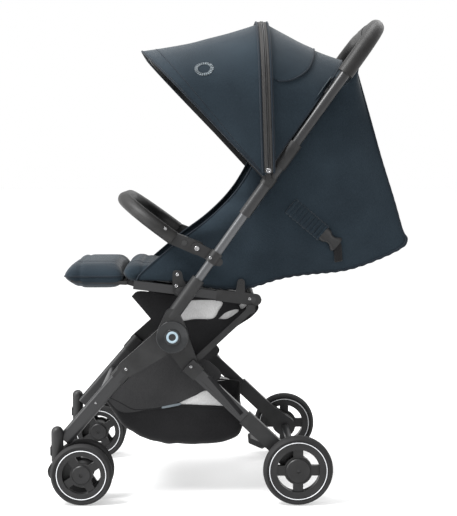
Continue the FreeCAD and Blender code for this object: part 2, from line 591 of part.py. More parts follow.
def harness(nodes):
    """Shoulder pads on the back pad, and the buckle on the seat pad."""
    lift = BACK_ANGLE + 90
    strap_low = along(along(BACK_AXIS, BACK_ANGLE, 70.0), lift, BOARD / 2 + 2 * GAP + BACK_PAD_THICKNESS)
    strap_high = along(strap_low, BACK_ANGLE, 200.0)
    straps = []
    for x in (-HARNESS_X - HARNESS_WIDTH, HARNESS_X):
        line = (along(strap_low, lift, 4.0), along(strap_high, lift, 4.0))
        straps.append(bar(*line, 8.0, x, x + HARNESS_WIDTH))
    nodes["harness_pads"] = Part.makeCompound(straps)

    pad_mid = along(from_hub(RAIL_FRONT), RAIL_ANGLE, BUCKLE_RUN)
    seat_top = along(pad_mid, RAIL_ANGLE + 90, RAIL_HEIGHT / 2 + 2 * GAP + 1.5 + SEAT_PAD_THICKNESS)
    lift = RAIL_ANGLE + 90
    base = bar(along(seat_top, lift, 7.0), along(along(seat_top, lift, 7.0), RAIL_ANGLE, 44.0), 14.0, -20, 20)
    middle = along(along(seat_top, lift, 14.0), RAIL_ANGLE, 22.0)
    axis = at(0, along(middle, lift, 1.0)) - at(0, middle)
    pocket = Part.makeCylinder(9.0 + GAP, 6.0, at(0, along(middle, lift, -5.0)), axis)
    nodes["harness_buckle"] = base.cut(pocket)
    nodes["buckle_button"] = Part.makeCylinder(9.0, 4.5, at(0, along(middle, lift, -3.0)), axis)


def seat_shell(nodes):
    """Fabric sides and back that hang between the handle tubes and the seat."""
    half = SEAT_HALF + GAP
    rear_low = along(along(BACK_AXIS, BACK_ANGLE, BACK_LENGTH + 14.0), BACK_ANGLE - 90, 16.0)
    front_low = along(BACK_AXIS, BACK_ANGLE - 90, 12.0)
    wing_low = along(along(from_hub(RAIL_FRONT), RAIL_ANGLE, 28.0), RAIL_ANGLE + 90, 14.0)
    wing_front = (wing_low[0] + 2.0, wing_low[1] + 46.0)
    top_rear = (handle_point(520.0)[0] + 26.0, handle_point(520.0)[1] + 4.0)
    wing_top = (CANOPY_AXIS[0] - 56.0, CANOPY_AXIS[1] + 16.0)
    side = [wing_low, front_low, rear_low, top_rear, handle_point(500.0), wing_top, wing_front]
    panels = [outline(side, half, half + FABRIC), outline(side, -half - FABRIC, -half)]
    wall = bar(rear_low, top_rear, FABRIC, -half - FABRIC, half + FABRIC)
    floor = bar(front_low, rear_low, FABRIC, -half - FABRIC, half + FABRIC)
    pin_hole = rod(-RAIL_X[1], RAIL_X[1], BACK_AXIS, WHEEL_PIN_R + GAP)
    nodes["seat_shell"] = fused(panels + [wall, floor]).cut(pin_hole)


def basket(nodes):
    front = (FRONT_CROSS[0] + FRONT_CROSS_R + GAP, FRONT_CROSS[1])
    rear = (REAR_AXLE[0] - 112.0, REAR_AXLE[1] + 112.0)
    sag = 108.0
    side = [front, (front[0] + 34.0, front[1] - 58.0), (front[0] + 92.0, sag + 12.0), (-252.0, sag),
            (-190.0, sag), (rear[0] - 6.0, sag + 20.0), rear, (-205.0, rear[1] + 30.0)]
    half = RAIL_X[0]
    outer = outline(side, -half, half)
    inside = outline([along(p, heading(p, (-240.0, 165.0)), FABRIC * 1.6) for p in side],
                     -half + FABRIC, half - FABRIC)
    mouth = outline([(front[0] + 8.0, front[1] - 8.0), (rear[0] - 8.0, rear[1] - 6.0), (-205.0, 400.0)],
                    -half + FABRIC, half - FABRIC)
    nodes["basket"] = outer.cut(inside).cut(mouth)


# ---- upper handle ----
def upper_handle(nodes):
    bore_r = LOWER_TUBE_R + GAP
    outer = run_rod(TUBE_X, handle_point(OUTER_TUBE_START), handle_point(OUTER_TUBE_END), OUTER_TUBE_R)
    bore = run_rod(TUBE_X, handle_point(OUTER_TUBE_START - 1), handle_point(OUTER_TUBE_END + 60), bore_r)
    nodes["outer_tubes"] = both(outer.cut(bore))

    wire = loop_wire(TUBE_X, HANDLE_ANGLE, SLEEVE_END, OUTER_TUBE_END, HANDLE_REACH, HANDLE_CORNER_R)
    bar_solid = loop_tube(wire, UPPER_TUBE_R)
    hollow = loop_tube(wire, bore_r)
    nodes["handle_bar"] = bar_solid.cut(hollow)

    grip_wire = loop_wire(TUBE_X, HANDLE_ANGLE, SLEEVE_END, GRIP_START, HANDLE_REACH, HANDLE_CORNER_R)
    grip = loop_tube(grip_wire, GRIP_R).cut(loop_tube(grip_wire, UPPER_TUBE_R))
    middle = 46.0
    top = handle_point(HANDLE_REACH)
    slab = Part.makeBox(2 * middle, 90, 90, Vec(-middle, top[0] - 45, top[1] - 45))
    nodes["handle_grips"] = grip.cut(slab)

    shell = rod(-middle + GAP, middle - GAP, top, GRIP_R + 1.0).cut(rod(-middle, middle, top, UPPER_TUBE_R))
    under = HANDLE_ANGLE + 180
    pocket = lobe(along(top, under, 12.0), 6.0 + GAP, along(top, under, 30.0), 6.0 + GAP, -24 - GAP, 24 + GAP)
    nodes["handle_release_cover"] = shell.cut(pocket)
    button = lobe(along(top, under, 18.0), 6.0, along(top, under, 19.0), 6.0, -24, 24)
    nodes["handle_release_button"] = button.cut(rod(-25, 25, top, UPPER_TUBE_R + 4.6))

    joint = handle_point(OUTER_TUBE_END)
    clamp = run_rod(TUBE_X, handle_point(OUTER_TUBE_END - 27), handle_point(OUTER_TUBE_END + 33), 15.0)
    clamp = clamp.cut(run_rod(TUBE_X, handle_point(OUTER_TUBE_END - 28), joint, OUTER_TUBE_R))
    clamp = clamp.cut(run_rod(TUBE_X, joint, handle_point(OUTER_TUBE_END + 34), UPPER_TUBE_R))
    rivet = rod(TUBE_X + 12.6, TUBE_X + 16.2, handle_point(OUTER_TUBE_END - 12), 4.5)
    nodes["tube_connectors"] = both(fused([clamp, rivet.cut(run_rod(
        TUBE_X, handle_point(OUTER_TUBE_END - 28), joint, OUTER_TUBE_R))]))

    low = CANOPY_PIVOT_RUN - 11
    high = CANOPY_PIVOT_RUN + 11
    mount = run_rod(TUBE_X, handle_point(low), handle_point(high), OUTER_TUBE_R + 2)
    mount = mount.cut(run_rod(TUBE_X, handle_point(low - 1), handle_point(high + 1), OUTER_TUBE_R))
    pivot = rod(TUBE_X + OUTER_TUBE_R + 1, bow_layers()[1][1], CANOPY_AXIS, WHEEL_PIN_R)
    nodes["canopy_pivots"] = both(fused([mount, pivot]))


# ---- canopy ----
def bow_layers():
    """X layers of the front bow and the middle bow at their pivot."""
    inner = TUBE_X + OUTER_TUBE_R + 2 + GAP
    return ((inner, inner + BOW_THICKNESS), (inner + BOW_THICKNESS + GAP, inner + 2 * BOW_THICKNESS + GAP))


def arch_wire(half_width, height, foot, corner_r, tilt):
    """Closed arch outline in a plane through the canopy axis."""
    def place(x, rise):
        return at(x, along(CANOPY_AXIS, tilt, rise))

    side = corner_r * (1 - cos(radians(45)))
    edges = [
        Part.makeLine(place(half_width, foot), place(half_width, height - corner_r)),
        Part.Arc(place(half_width, height - corner_r), place(half_width - side, height - side),
                 place(half_width - corner_r, height)).toShape(),
        Part.makeLine(place(half_width - corner_r, height), place(corner_r - half_width, height)),
        Part.Arc(place(corner_r - half_width, height), place(side - half_width, height - side),
                 place(-half_width, height - corner_r)).toShape(),
        Part.makeLine(place(-half_width, height - corner_r), place(-half_width, foot)),
        Part.makeLine(place(-half_width, foot), place(half_width, foot)),
    ]
    return Part.Wire(edges)


def bow(half_width, height, tilt):
    """Flat strip bent to an arch, with an eye at each foot."""
    outer = Part.Face(arch_wire(half_width, height, 0.0, CANOPY_CORNER_R, tilt))
    inner = Part.Face(arch_wire(half_width - BOW_THICKNESS, height - BOW_THICKNESS, -1.0,
                                CANOPY_CORNER_R - BOW_THICKNESS, tilt))
    normal = at(0, along((0, 0), tilt + 90, BOW_WIDTH))
    start = at(0, along((0, 0), tilt - 90, BOW_WIDTH / 2))
    strip = outer.cut(inner)
    strip.translate(start)
    strip = strip.extrude(normal)
    eyes = [rod(half_width - BOW_THICKNESS, half_width, CANOPY_AXIS, 8.0),
            rod(-half_width, BOW_THICKNESS - half_width, CANOPY_AXIS, 8.0)]
    holes = rod(-half_width - 1, half_width + 1, CANOPY_AXIS, WHEEL_PIN_R + FIT)
    solids = fused([strip] + eyes)
    return solids.cut(holes)


def canopy(nodes):
    (_, front_x), (_, middle_x) = bow_layers()
    nodes["canopy_front_bow"] = bow(front_x, FRONT_BOW[0] - FRONT_BOW_DROP, FRONT_BOW[1] - 1.0)
    nodes["canopy_middle_bow"] = bow(middle_x, MIDDLE_BOW[0] - MIDDLE_BOW_DROP, MIDDLE_BOW[1])

    stations = (FRONT_BOW, MIDDLE_BOW, REAR_EDGE)
    foot = 16.0
    outer = [arch_wire(CANOPY_HALF_WIDTH, height, foot, CANOPY_CORNER_R, tilt) for height, tilt in stations]
    skin = Part.makeLoft(outer, True, True)
    hollow = []
    for index, (height, tilt) in enumerate(stations):
        spread = 1.0 if index == 0 else -1.0 if index == 2 else 0.0
        hollow.append(arch_wire(CANOPY_HALF_WIDTH - FABRIC, height - FABRIC, foot - 8.0,
                                CANOPY_CORNER_R - FABRIC, tilt + spread))
    nodes["canopy_shell"] = skin.cut(Part.makeLoft(hollow, True, True))


# ---- bumper bar ----
def bumper(nodes):
    x0, x1 = adaptor_x()
    plane_x = (x0 + x1) / 2
    start = from_hub(BUMPER_START)
    wire = loop_wire(plane_x, BUMPER_ANGLE, start, 0.0, BUMPER_REACH, BUMPER_CORNER_R)
    nodes["bumper_bar"] = loop_tube(wire, BUMPER_R)

    stop = along(start, BUMPER_ANGLE, -GAP)
    body = lobe(BUMPER_AXIS, ADAPTOR_R, start, 13.0, x0, x1)
    cutter = bar(stop, along(stop, BUMPER_ANGLE, 60.0), 90.0, x0 - 1, x1 + 1)
    body = body.cut(cutter).cut(rod(x0 - 1, x1 + 1, BUMPER_AXIS, WHEEL_PIN_R + FIT))
    spot = along(BUMPER_AXIS, heading(BUMPER_AXIS, start), 29.0)
    button_r = 6.0
    pocket = rod(x1 - 5.5, x1 + 1, spot, button_r + GAP)
    nodes["bumper_adaptors"] = both(body.cut(pocket))
    button = rod(x1 - 3.0, x1 + 0.8, spot, button_r)
    nodes["bumper_button_left"] = button
    nodes["bumper_button_right"] = mirrored(button)


def build():
    nodes = {}
    wheels(nodes)
    rear_frame(nodes)
    brake(nodes)
    front_frame(nodes)
    casters(nodes)
    main_frame(nodes)
    seat_frame(nodes)
    seat_soft(nodes)
    backrest(nodes)
    harness(nodes)
    seat_shell(nodes)
    basket(nodes)
    upper_handle(nodes)
    canopy(nodes)
    bumper(nodes)
    return nodes


def centre_shift(nodes):
    """Distance along Y that centres the whole model's box."""
    boxes = [shape.optimalBoundingBox(False, False) for shape in nodes.values()]
    return -(min(box.YMin for box in boxes) + max(box.YMax for box in boxes)) / 2


parts = build()
SHIFT_Y = centre_shift(parts)
os.makedirs("parts", exist_ok=True)
for name, shape in parts.items():
    shape.translate(Vec(0, SHIFT_Y, 0))
    shape.exportStep("parts/" + name + ".step")
print(len(parts), "nodes, shift along Y", round(SHIFT_Y, 3))
travels = {"fold": FOLD_ANGLE, "front legs": FRONT_LEG_CLOSING, "seat": SEAT_TURN, "struts": STRUT_TURN,
           "recline": RECLINE_TRAVEL, "calf rest": CALF_TRAVEL, "canopy": CANOPY_TRAVEL,
           "handle": HANDLE_TRAVEL}
print("travels in degrees or mm:", travels)
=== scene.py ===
import json
import math

import bmesh
import bpy
import numpy as np
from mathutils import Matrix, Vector, noise

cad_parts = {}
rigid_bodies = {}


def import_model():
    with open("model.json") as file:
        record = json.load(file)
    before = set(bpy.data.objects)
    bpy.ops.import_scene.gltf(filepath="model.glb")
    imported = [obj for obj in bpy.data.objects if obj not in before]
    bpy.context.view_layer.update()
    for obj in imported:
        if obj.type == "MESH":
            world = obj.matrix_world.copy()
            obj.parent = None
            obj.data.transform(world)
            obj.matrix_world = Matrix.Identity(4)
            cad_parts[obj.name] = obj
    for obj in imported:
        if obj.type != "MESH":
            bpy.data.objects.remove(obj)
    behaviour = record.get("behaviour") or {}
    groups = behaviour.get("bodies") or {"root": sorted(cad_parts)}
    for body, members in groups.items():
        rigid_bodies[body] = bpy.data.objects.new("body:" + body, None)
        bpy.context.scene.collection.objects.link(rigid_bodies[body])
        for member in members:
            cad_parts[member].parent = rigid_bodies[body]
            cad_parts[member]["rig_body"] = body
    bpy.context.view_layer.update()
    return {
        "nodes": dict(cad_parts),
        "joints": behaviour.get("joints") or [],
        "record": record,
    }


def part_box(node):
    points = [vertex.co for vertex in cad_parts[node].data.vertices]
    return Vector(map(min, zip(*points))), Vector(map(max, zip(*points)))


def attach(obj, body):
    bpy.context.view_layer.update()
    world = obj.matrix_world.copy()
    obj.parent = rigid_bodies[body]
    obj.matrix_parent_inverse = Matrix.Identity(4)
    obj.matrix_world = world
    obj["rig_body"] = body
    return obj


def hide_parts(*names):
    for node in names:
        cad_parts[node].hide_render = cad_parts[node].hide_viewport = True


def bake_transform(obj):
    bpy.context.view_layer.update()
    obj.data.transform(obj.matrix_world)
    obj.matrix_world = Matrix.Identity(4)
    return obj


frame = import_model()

# Folding baby stroller.  The frame is in metres, the lengths below in millimetres.
# Places on the stroller are given as (Y from the rear axle, Z above the floor).
MM = 0.001
JOINTS = {joint["name"]: joint for joint in frame["joints"]}
AXLE_Y = JOINTS["rear_left_spin"]["pos_m"][1]


def place_of(joint):
    """Joint position as (Y, Z) in millimetres from the rear axle and the floor."""
    pos = JOINTS[joint]["pos_m"]
    return ((pos[1] - AXLE_Y) / MM, pos[2] / MM)


HUB = place_of("fold")
CANOPY = place_of("canopy_close")
BACK = place_of("recline")
BUMPER = place_of("bumper_fold")
TUBE = frame["record"]["mounts"][0]
TUBE_X = TUBE["pos_m"][0] / MM
TUBE_R = TUBE["dims"]["r_mm"]
HANDLE = math.degrees(math.atan2(TUBE["axis"][2], TUBE["axis"][1]))
SEAT_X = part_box("seat_shell")[1].x / MM
SIDES = (("left", 1), ("right", -1))


def spot(x, point):
    """Point in the frame, from X and (Y, Z) in millimetres."""
    return Vector((x * MM, AXLE_Y + point[0] * MM, point[1] * MM))


def along(point, angle, distance):
    turn = math.radians(angle)
    return (point[0] + distance * math.cos(turn), point[1] + distance * math.sin(turn))


def on_tube(run):
    """Point of the handle line, by its distance from the canopy pivot."""
    return along(CANOPY, HANDLE, run)


def mix(a, b, share):
    return a + (b - a) * share


def smooth(value):
    value = min(1.0, max(0.0, value))
    return value * value * (3 - 2 * value)


# ---- materials ----
def link(tree, a, b):
    tree.links.new(a, b)


def node(tree, kind, **values):
    made = tree.nodes.new("ShaderNode" + kind)
    for name, value in values.items():
        if hasattr(made, name):
            setattr(made, name, value)
        else:
            made.inputs[name.replace("_", " ")].default_value = value
    return made


def start(name, rough, metal=0.0, **sockets):
    made = bpy.data.materials.new(name)
    made.use_nodes = True
    tree = made.node_tree
    shader = tree.nodes["Principled BSDF"]
    shader.inputs["Roughness"].default_value = rough
    shader.inputs["Metallic"].default_value = metal
    for socket, value in sockets.items():
        shader.inputs[socket.replace("_", " ")].default_value = value
    return made, tree, shader


def object_points(tree, scale):
    place = node(tree, "TexCoord")
    grow = node(tree, "Mapping")
    grow.inputs["Scale"].default_value = scale
    link(tree, place.outputs["Object"], grow.inputs["Vector"])
    return grow.outputs["Vector"]


def speckle(tree, scale, detail=3.0):
    made = node(tree, "TexNoise", Scale=1.0, Detail=detail, Roughness=0.55)
    link(tree, object_points(tree, scale), made.inputs["Vector"])
    return made.outputs["Fac"]


def two_tone(tree, shader, factor, dark, light, low=0.35, high=0.65):
    ramp = node(tree, "ValToRGB")
    ramp.color_ramp.elements[0].position = low
    ramp.color_ramp.elements[1].position = high
    ramp.color_ramp.elements[0].color = (*dark, 1)
    ramp.color_ramp.elements[1].color = (*light, 1)
    link(tree, factor, ramp.inputs["Fac"])
    link(tree, ramp.outputs["Color"], shader.inputs["Base Color"])


def add_bump(tree, shader, height, strength, distance):
    made = node(tree, "Bump", Strength=strength, Distance=distance)
    link(tree, height, made.inputs["Height"])
    link(tree, made.outputs["Normal"], shader.inputs["Normal"])


def combine(tree, operation, a, b):
    made = node(tree, "Math", operation=operation)
    link(tree, a, made.inputs[0])
    link(tree, b, made.inputs[1])
    return made.outputs[0]


def times(tree, value, factor):
    made = node(tree, "Math", operation="MULTIPLY")
    made.inputs[1].default_value = factor
    link(tree, value, made.inputs[0])
    return made.outputs[0]


def weave(tree, thread):
    """Height of crossing threads, thread metres apart, on a face of any direction."""
    scale = 0.314 / thread
    total = None
    for axis in "XYZ":
        wave = node(tree, "TexWave", Scale=scale, bands_direction=axis)
        link(tree, object_points(tree, (1, 1, 1)), wave.inputs["Vector"])
        total = wave.outputs["Fac"] if total is None else combine(tree, "ADD", total, wave.outputs["Fac"])
    return total


def fabric(name, dark, light, thread=0.0011, sheen=0.14, bump=0.35):
    made, tree, shader = start(name, 0.86, Sheen_Weight=sheen, Sheen_Roughness=0.45, Specular_IOR_Level=0.12)
    streaks = combine(tree, "ADD", speckle(tree, (1400, 1400, 260)), speckle(tree, (260, 1400, 1400)))
    broad = speckle(tree, (9, 9, 9), 2.0)
    shade = combine(tree, "ADD", times(tree, streaks, 0.36), times(tree, broad, 0.28))
    two_tone(tree, shader, shade, dark, light, 0.4, 0.62)
    add_bump(tree, shader, weave(tree, thread), bump, 0.00025)
    return made


def plastic(name, dark, light, rough=0.5, grain=0.0009, bump=0.18):
    made, tree, shader = start(name, rough, Specular_IOR_Level=0.3)
    factor = speckle(tree, (1 / grain,) * 3, 4.0)
    two_tone(tree, shader, speckle(tree, (24, 24, 24)), dark, light)
    add_bump(tree, shader, factor, bump, 0.0002)
    return made


def metal(name, dark, light, rough, metallic=0.85, draw=(40, 900, 900)):
    made, tree, shader = start(name, rough, metallic, Specular_IOR_Level=0.4)
    lines = speckle(tree, draw, 2.0)
    two_tone(tree, shader, lines, dark, light, 0.2, 0.8)
    add_bump(tree, shader, lines, 0.05, 0.0001)
    return made


def leatherette(name, dark, light):
    made, tree, shader = start(name, 0.5, Sheen_Weight=0.03, Specular_IOR_Level=0.28)
    cells = node(tree, "TexVoronoi", Scale=1.0)
    link(tree, object_points(tree, (700, 700, 700)), cells.inputs["Vector"])
    two_tone(tree, shader, speckle(tree, (30, 30, 30)), dark, light)
    add_bump(tree, shader, cells.outputs["Distance"], 0.45, 0.0004)
    return made


NAVY = fabric("navy_melange", (0.006, 0.0112, 0.0165), (0.0165, 0.0262, 0.035))
NAVY_DARK = fabric("navy_binding", (0.006, 0.009, 0.013), (0.013, 0.019, 0.026), 0.0008, 0.1)
BLACK = fabric("black_cloth", (0.005, 0.005, 0.0055), (0.014, 0.014, 0.015), 0.0009, 0.08)
CHARCOAL = fabric("charcoal_cloth", (0.019, 0.019, 0.02), (0.036, 0.036, 0.037), 0.0008, 0.08, 0.25)
WEBBING = fabric("black_webbing", (0.005, 0.005, 0.0055), (0.015, 0.015, 0.016), 0.0016, 0.08, 0.7)
# pale net colour: painted light of the bright backdrop seen through the dark net
NET_PAINTED_BACKLIGHT = fabric("sheer_net", (0.36, 0.36, 0.36), (0.6, 0.6, 0.6), 0.0024, 0.1, 0.8)
TAPE = fabric("grey_zip_tape", (0.026, 0.0255, 0.025), (0.058, 0.057, 0.056), 0.0012, 0.05, 0.6)
DARK_TUBE = metal("dark_anodised", (0.012, 0.0122, 0.013), (0.022, 0.0223, 0.0235), 0.34, 0.1)
BRIGHT_TUBE = metal("satin_anodised", (0.075, 0.077, 0.08), (0.12, 0.123, 0.128), 0.34, 0.8)
PLASTIC = plastic("dark_moulding", (0.0085, 0.0086, 0.009), (0.0155, 0.0157, 0.0162), 0.44)
WHEEL = plastic("wheel_moulding", (0.007, 0.007, 0.0073), (0.013, 0.013, 0.0135), 0.4)
# pale ring colour: a painted highlight of the light arcs on the wheels
PAINTED_HIGHLIGHT_RING = plastic("pale_ring", (0.55, 0.56, 0.58), (0.68, 0.69, 0.71), 0.35)
TYRE = plastic("tyre_rubber", (0.0065, 0.0065, 0.0068), (0.0115, 0.0115, 0.012), 0.72, 0.0013, 0.4)
GRIP = leatherette("grip_leatherette", (0.0055, 0.0053, 0.0052), (0.0115, 0.0112, 0.011))
BUTTON = plastic("button_grey", (0.016, 0.0165, 0.017), (0.026, 0.0265, 0.027), 0.4)
CAP = plastic("gloss_cap", (0.01, 0.011, 0.012), (0.016, 0.017, 0.018), 0.22, 0.004, 0.03)
CHROME = metal("rivet_steel", (0.2, 0.2, 0.205), (0.34, 0.34, 0.345), 0.25, 1.0)
EMBLEM = plastic("emblem_print", (0.095, 0.115, 0.13), (0.15, 0.175, 0.19), 0.6)
BADGE = plastic("badge_ring", (0.24, 0.32, 0.37), (0.3, 0.38, 0.43), 0.35)

SLOT_FINISH = {"dark_tube": DARK_TUBE, "bright_tube": BRIGHT_TUBE, "dark_plastic": PLASTIC, "tyre": TYRE,
               "wheel_plastic": WHEEL, "pin_steel": CHROME, "grip": GRIP, "grey_button": BUTTON,
               "hub_cap": CAP, "navy_fabric": NAVY, "black_fabric": BLACK}
NODE_FINISH = {"handle_bar": DARK_TUBE, "tube_collars": PLASTIC}


def dress_frame():
    for part in frame["record"]["subparts"]:
        piece = frame["nodes"][part["node"]]
        piece.data.materials.clear()
        piece.data.materials.append(NODE_FINISH.get(part["node"], SLOT_FINISH[part["material_slot"]]))


# ---- mesh helpers ----
def add(name, data):
    made = bpy.data.objects.new(name, data)
    bpy.context.scene.collection.objects.link(made)
    return made


def curve_mesh(name, curve):
    """Mesh of a curve, which itself isn't kept."""
    made = add(name + "_line", curve)
    graph = bpy.context.evaluated_depsgraph_get()
    mesh = bpy.data.meshes.new_from_object(made.evaluated_get(graph))
    bpy.data.objects.remove(made)
    mesh.materials.clear()
    return mesh


def smooth_piece(name, mesh, material):
    mesh.materials.append(material)
    mesh.polygons.foreach_set("use_smooth", [True] * len(mesh.polygons))
    piece = add(name, mesh)
    return piece


def new_piece(name, points, faces, material):
    mesh = bpy.data.meshes.new(name)
    mesh.from_pydata([tuple(p) for p in points], [], faces)
    return smooth_piece(name, mesh, material)


def settle(piece):
    """Applies every modifier."""
    graph = bpy.context.evaluated_depsgraph_get()
    made = bpy.data.meshes.new_from_object(piece.evaluated_get(graph))
    piece.modifiers.clear()
    piece.data = made
    return piece


def thicken(piece, thickness, levels=1):
    solid = piece.modifiers.new("Thickness", "SOLIDIFY")
    solid.thickness = thickness * MM
    solid.offset = 0.0
    if levels:
        piece.modifiers.new("Smooth", "SUBSURF").levels = levels
    return settle(piece)


def grid_piece(name, rows, thickness=1.4, material=NAVY):
    """Cloth through rows of points, with a real thickness in millimetres."""
    count = len(rows[0])
    points = [p for row in rows for p in row]
    faces = []
    for i in range(len(rows) - 1):
        for j in range(count - 1):
            k = i * count + j
            faces.append((k, k + 1, k + count + 1, k + count))
    piece = new_piece(name, points, faces, material)
    return thicken(piece, thickness)


def loft(name, rings, material, levels=0):
    """Closed tube through rings of points, with flat ends."""
    count = len(rings[0])
    points = [p for ring in rings for p in ring]
    faces = [tuple(range(count))[::-1]]
    for i in range(len(rings) - 1):
        for j in range(count):
            a, b = i * count + j, i * count + (j + 1) % count
            faces.append((a, b, b + count, a + count))
    last = (len(rings) - 1) * count
    faces.append(tuple(range(last, last + count)))
    piece = new_piece(name, points, faces, material)
    if levels:
        piece.modifiers.new("Smooth", "SUBSURF").levels = levels
        settle(piece)
    return piece


def cord_line(name, points, radius, material, closed=False):
    """Round piping along a line of points."""
    curve = bpy.data.curves.new(name, "CURVE")
    curve.dimensions = "3D"
    curve.bevel_depth = radius * MM
    curve.bevel_resolution = 2
    curve.use_fill_caps = True
    line = curve.splines.new("POLY")
    line.points.add(len(points) - 1)
    for point, place in zip(line.points, points):
        point.co = (*place, 1)
    line.use_cyclic_u = closed
    return smooth_piece(name, curve_mesh(name, curve), material)


def flow(points, count):
    """Smooth line through the points, in count even steps."""
    pts = [np.array(p, float) for p in points]
    pts = [2 * pts[0] - pts[1]] + pts + [2 * pts[-1] - pts[-2]]
    fine = []
    for i in range(1, len(pts) - 2):
        for t in np.linspace(0, 1, 16, endpoint=i == len(pts) - 3):
            a, b, c, d = pts[i - 1:i + 3]
            fine.append(0.5 * (2 * b + (c - a) * t + (2 * a - 5 * b + 4 * c - d) * t * t
                               + (3 * b - a - 3 * c + d) * t ** 3))
    fine = np.array(fine)
    run = np.concatenate([[0], np.cumsum(np.linalg.norm(np.diff(fine, axis=0), axis=1))])
    even = np.linspace(0, run[-1], count)
    return np.stack([np.interp(even, run, fine[:, k]) for k in range(fine.shape[1])], axis=1)


def strap(name, points, width, side=Vector((1, 0, 0)), thickness=1.6, material=WEBBING):
    """Flat webbing along a line of points, side across its width."""
    rings = []
    for i, point in enumerate(points):
        ahead = Vector(points[min(i + 1, len(points) - 1)]) - Vector(points[max(i - 1, 0)])
        across = (side - side.project(ahead)).normalized()
        up = ahead.cross(across).normalized()
        ring = []
        for u, v in ((-1, 0), (-0.96, 1), (0, 1), (0.96, 1), (1, 0), (0.96, -1), (0, -1), (-0.96, -1)):
            ring.append(Vector(point) + across * (u * width * MM / 2) + up * (v * thickness * MM / 2))
        rings.append(ring)
    return loft(name, rings, material)


def spun(name, centre, profile, sign, material, turns=28):
    """Round part about the X axis: profile holds (distance outwards along X, radius) in millimetres."""
    rings = []
    for out, radius in profile:
        ring = []
        for k in range(turns):
            a = 2 * math.pi * k / turns
            turned = Vector((sign * out, radius * math.cos(a), radius * math.sin(a)))
            ring.append(Vector(centre) + turned * MM)
        rings.append(ring)
    return loft(name, rings, material)


def lay_on(piece, target, lift):
    """Lays each point of the piece on the nearest face of the target, lift millimetres out."""
    for vertex in piece.data.vertices:
        found, place, normal, _ = target.closest_point_on_mesh(vertex.co)
        if found:
            side = 1 if normal.x * vertex.co.x > 0 else -1
            vertex.co = place + normal * side * lift * MM
    return piece


def cloth_copy(name, source, shrink):
    """Closed copy of a CAD node's mesh in cloth, drawn in by shrink millimetres."""
    mesh = frame["nodes"][source].data.copy()
    mesh.materials.clear()
    mesh.materials.append(NAVY)
    piece = add(name, mesh)
    work = bmesh.new()
    work.from_mesh(mesh)
    bmesh.ops.remove_doubles(work, verts=work.verts, dist=1e-5)
    work.normal_update()
    for vertex in work.verts:
        vertex.co -= vertex.normal * shrink * MM
    work.to_mesh(mesh)
    work.free()
    return piece


def points_of(mesh):
    return np.array([v.co for v in mesh.vertices], float).reshape(-1, 3)


def set_points(piece, points):
    piece.data.vertices.foreach_set("co", np.asarray(points, np.float32).ravel())
    piece.data.update()


CLOTH_STEPS = 20


def puff(piece, cap, voxel=6.0, pressure=4.0):
    """Swells a closed shape as stuffed cloth, each point at most cap millimetres from where it was."""
    remesh = piece.modifiers.new("Remesh", "REMESH")
    remesh.mode = "VOXEL"
    remesh.voxel_size = voxel * MM
    settle(piece)
    rest = points_of(piece.data)
    cloth = piece.modifiers.new("Cloth", "CLOTH")
    cloth.settings.use_pressure = True
    cloth.settings.uniform_pressure_force = pressure
    cloth.settings.effector_weights.gravity = 0
    cloth.settings.quality = 4
    cloth.point_cache.frame_start = 1
    cloth.point_cache.frame_end = CLOTH_STEPS
    scene = bpy.context.scene
    for number in range(1, CLOTH_STEPS + 1):
        scene.frame_set(number)
    graph = bpy.context.evaluated_depsgraph_get()
    swollen = piece.evaluated_get(graph).to_mesh()
    moved = points_of(swollen) - rest
    piece.evaluated_get(graph).to_mesh_clear()
    piece.modifiers.clear()
    scene.frame_set(1)
    reach = np.linalg.norm(moved, axis=1, keepdims=True)
    set_points(piece, rest + moved * np.minimum(1.0, cap * MM / np.maximum(reach, 1e-9)))
    piece.modifiers.new("Smooth", "SUBSURF").levels = 1
    settle(piece)
    piece.data.polygons.foreach_set("use_smooth", [True] * len(piece.data.polygons))
    return piece


def groove(piece, distance_to, depth, width):
    """Sewn channel: points sink by depth where distance_to(points) in metres is small."""
    points = points_of(piece.data)
    normals = np.array([v.normal for v in piece.data.vertices], float).reshape(-1, 3)
    near = np.exp(-(distance_to(points) / (width * MM)) ** 2)
    set_points(piece, points - normals * (near * depth * MM)[:, None])


def ripple(points, size, reach, seed):
    """Gentle folds in the cloth, as moves along X in millimetres."""
    moves = []
    for p in points:
        q = Vector((p[1] / size + seed, p[2] / (size * 0.45), seed))
        moves.append(noise.noise(q) * reach)
    return moves


# ---- canopy ----
CANOPY_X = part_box("canopy_shell")[1].x / MM
CORNER_R = 135.0
FOOT = 16.0
# each arch: height above the pivot and tilt, in millimetres and degrees
FRONT_ARCH = (381.0, 134.0)
MIDDLE_ARCH = (334.5, 91.9)
REAR_ARCH = (302.0, 60.0)
COLUMNS = 97
ZIP_PULL = [(0, 5.5), (1.2, 5.6), (2.0, 4.6), (2.1, 2.6), (1.0, 2.2), (0.9, 0.3)]
ZIP_CORDS = (("front_cord", -11.5, 2.6, NAVY_DARK), ("rear_cord", 11.5, 2.6, NAVY_DARK),
             ("coil_front", -1.7, 1.2, PLASTIC), ("coil_rear", 1.7, 1.2, PLASTIC))
EMBLEM_PLACE = (-196.0, 911.5)


def arch(height):
    """Arch line as (X, distance from the pivot), evenly spaced from foot to foot."""
    half, corner = CANOPY_X, CORNER_R
    line = [(half, FOOT), (half, height - corner)]
    for k in range(1, 12):
        a = math.pi / 2 * k / 12
        line.append((half - corner * (1 - math.cos(a)), height - corner * (1 - math.sin(a))))
    line += [(half - corner, height), (0.0, height + 1.0)]
    line += [(-x, r) for x, r in line[-2::-1]]
    line = np.array(line)
    run = np.concatenate([[0], np.cumsum(np.linalg.norm(np.diff(line, axis=0), axis=1))])
    even = np.linspace(0, run[-1], COLUMNS)
    return np.stack([np.interp(even, run, line[:, k]) for k in (0, 1)], axis=1)


def canopy_point(x, reach, tilt):
    return np.array(spot(x, along(CANOPY, tilt, reach)))


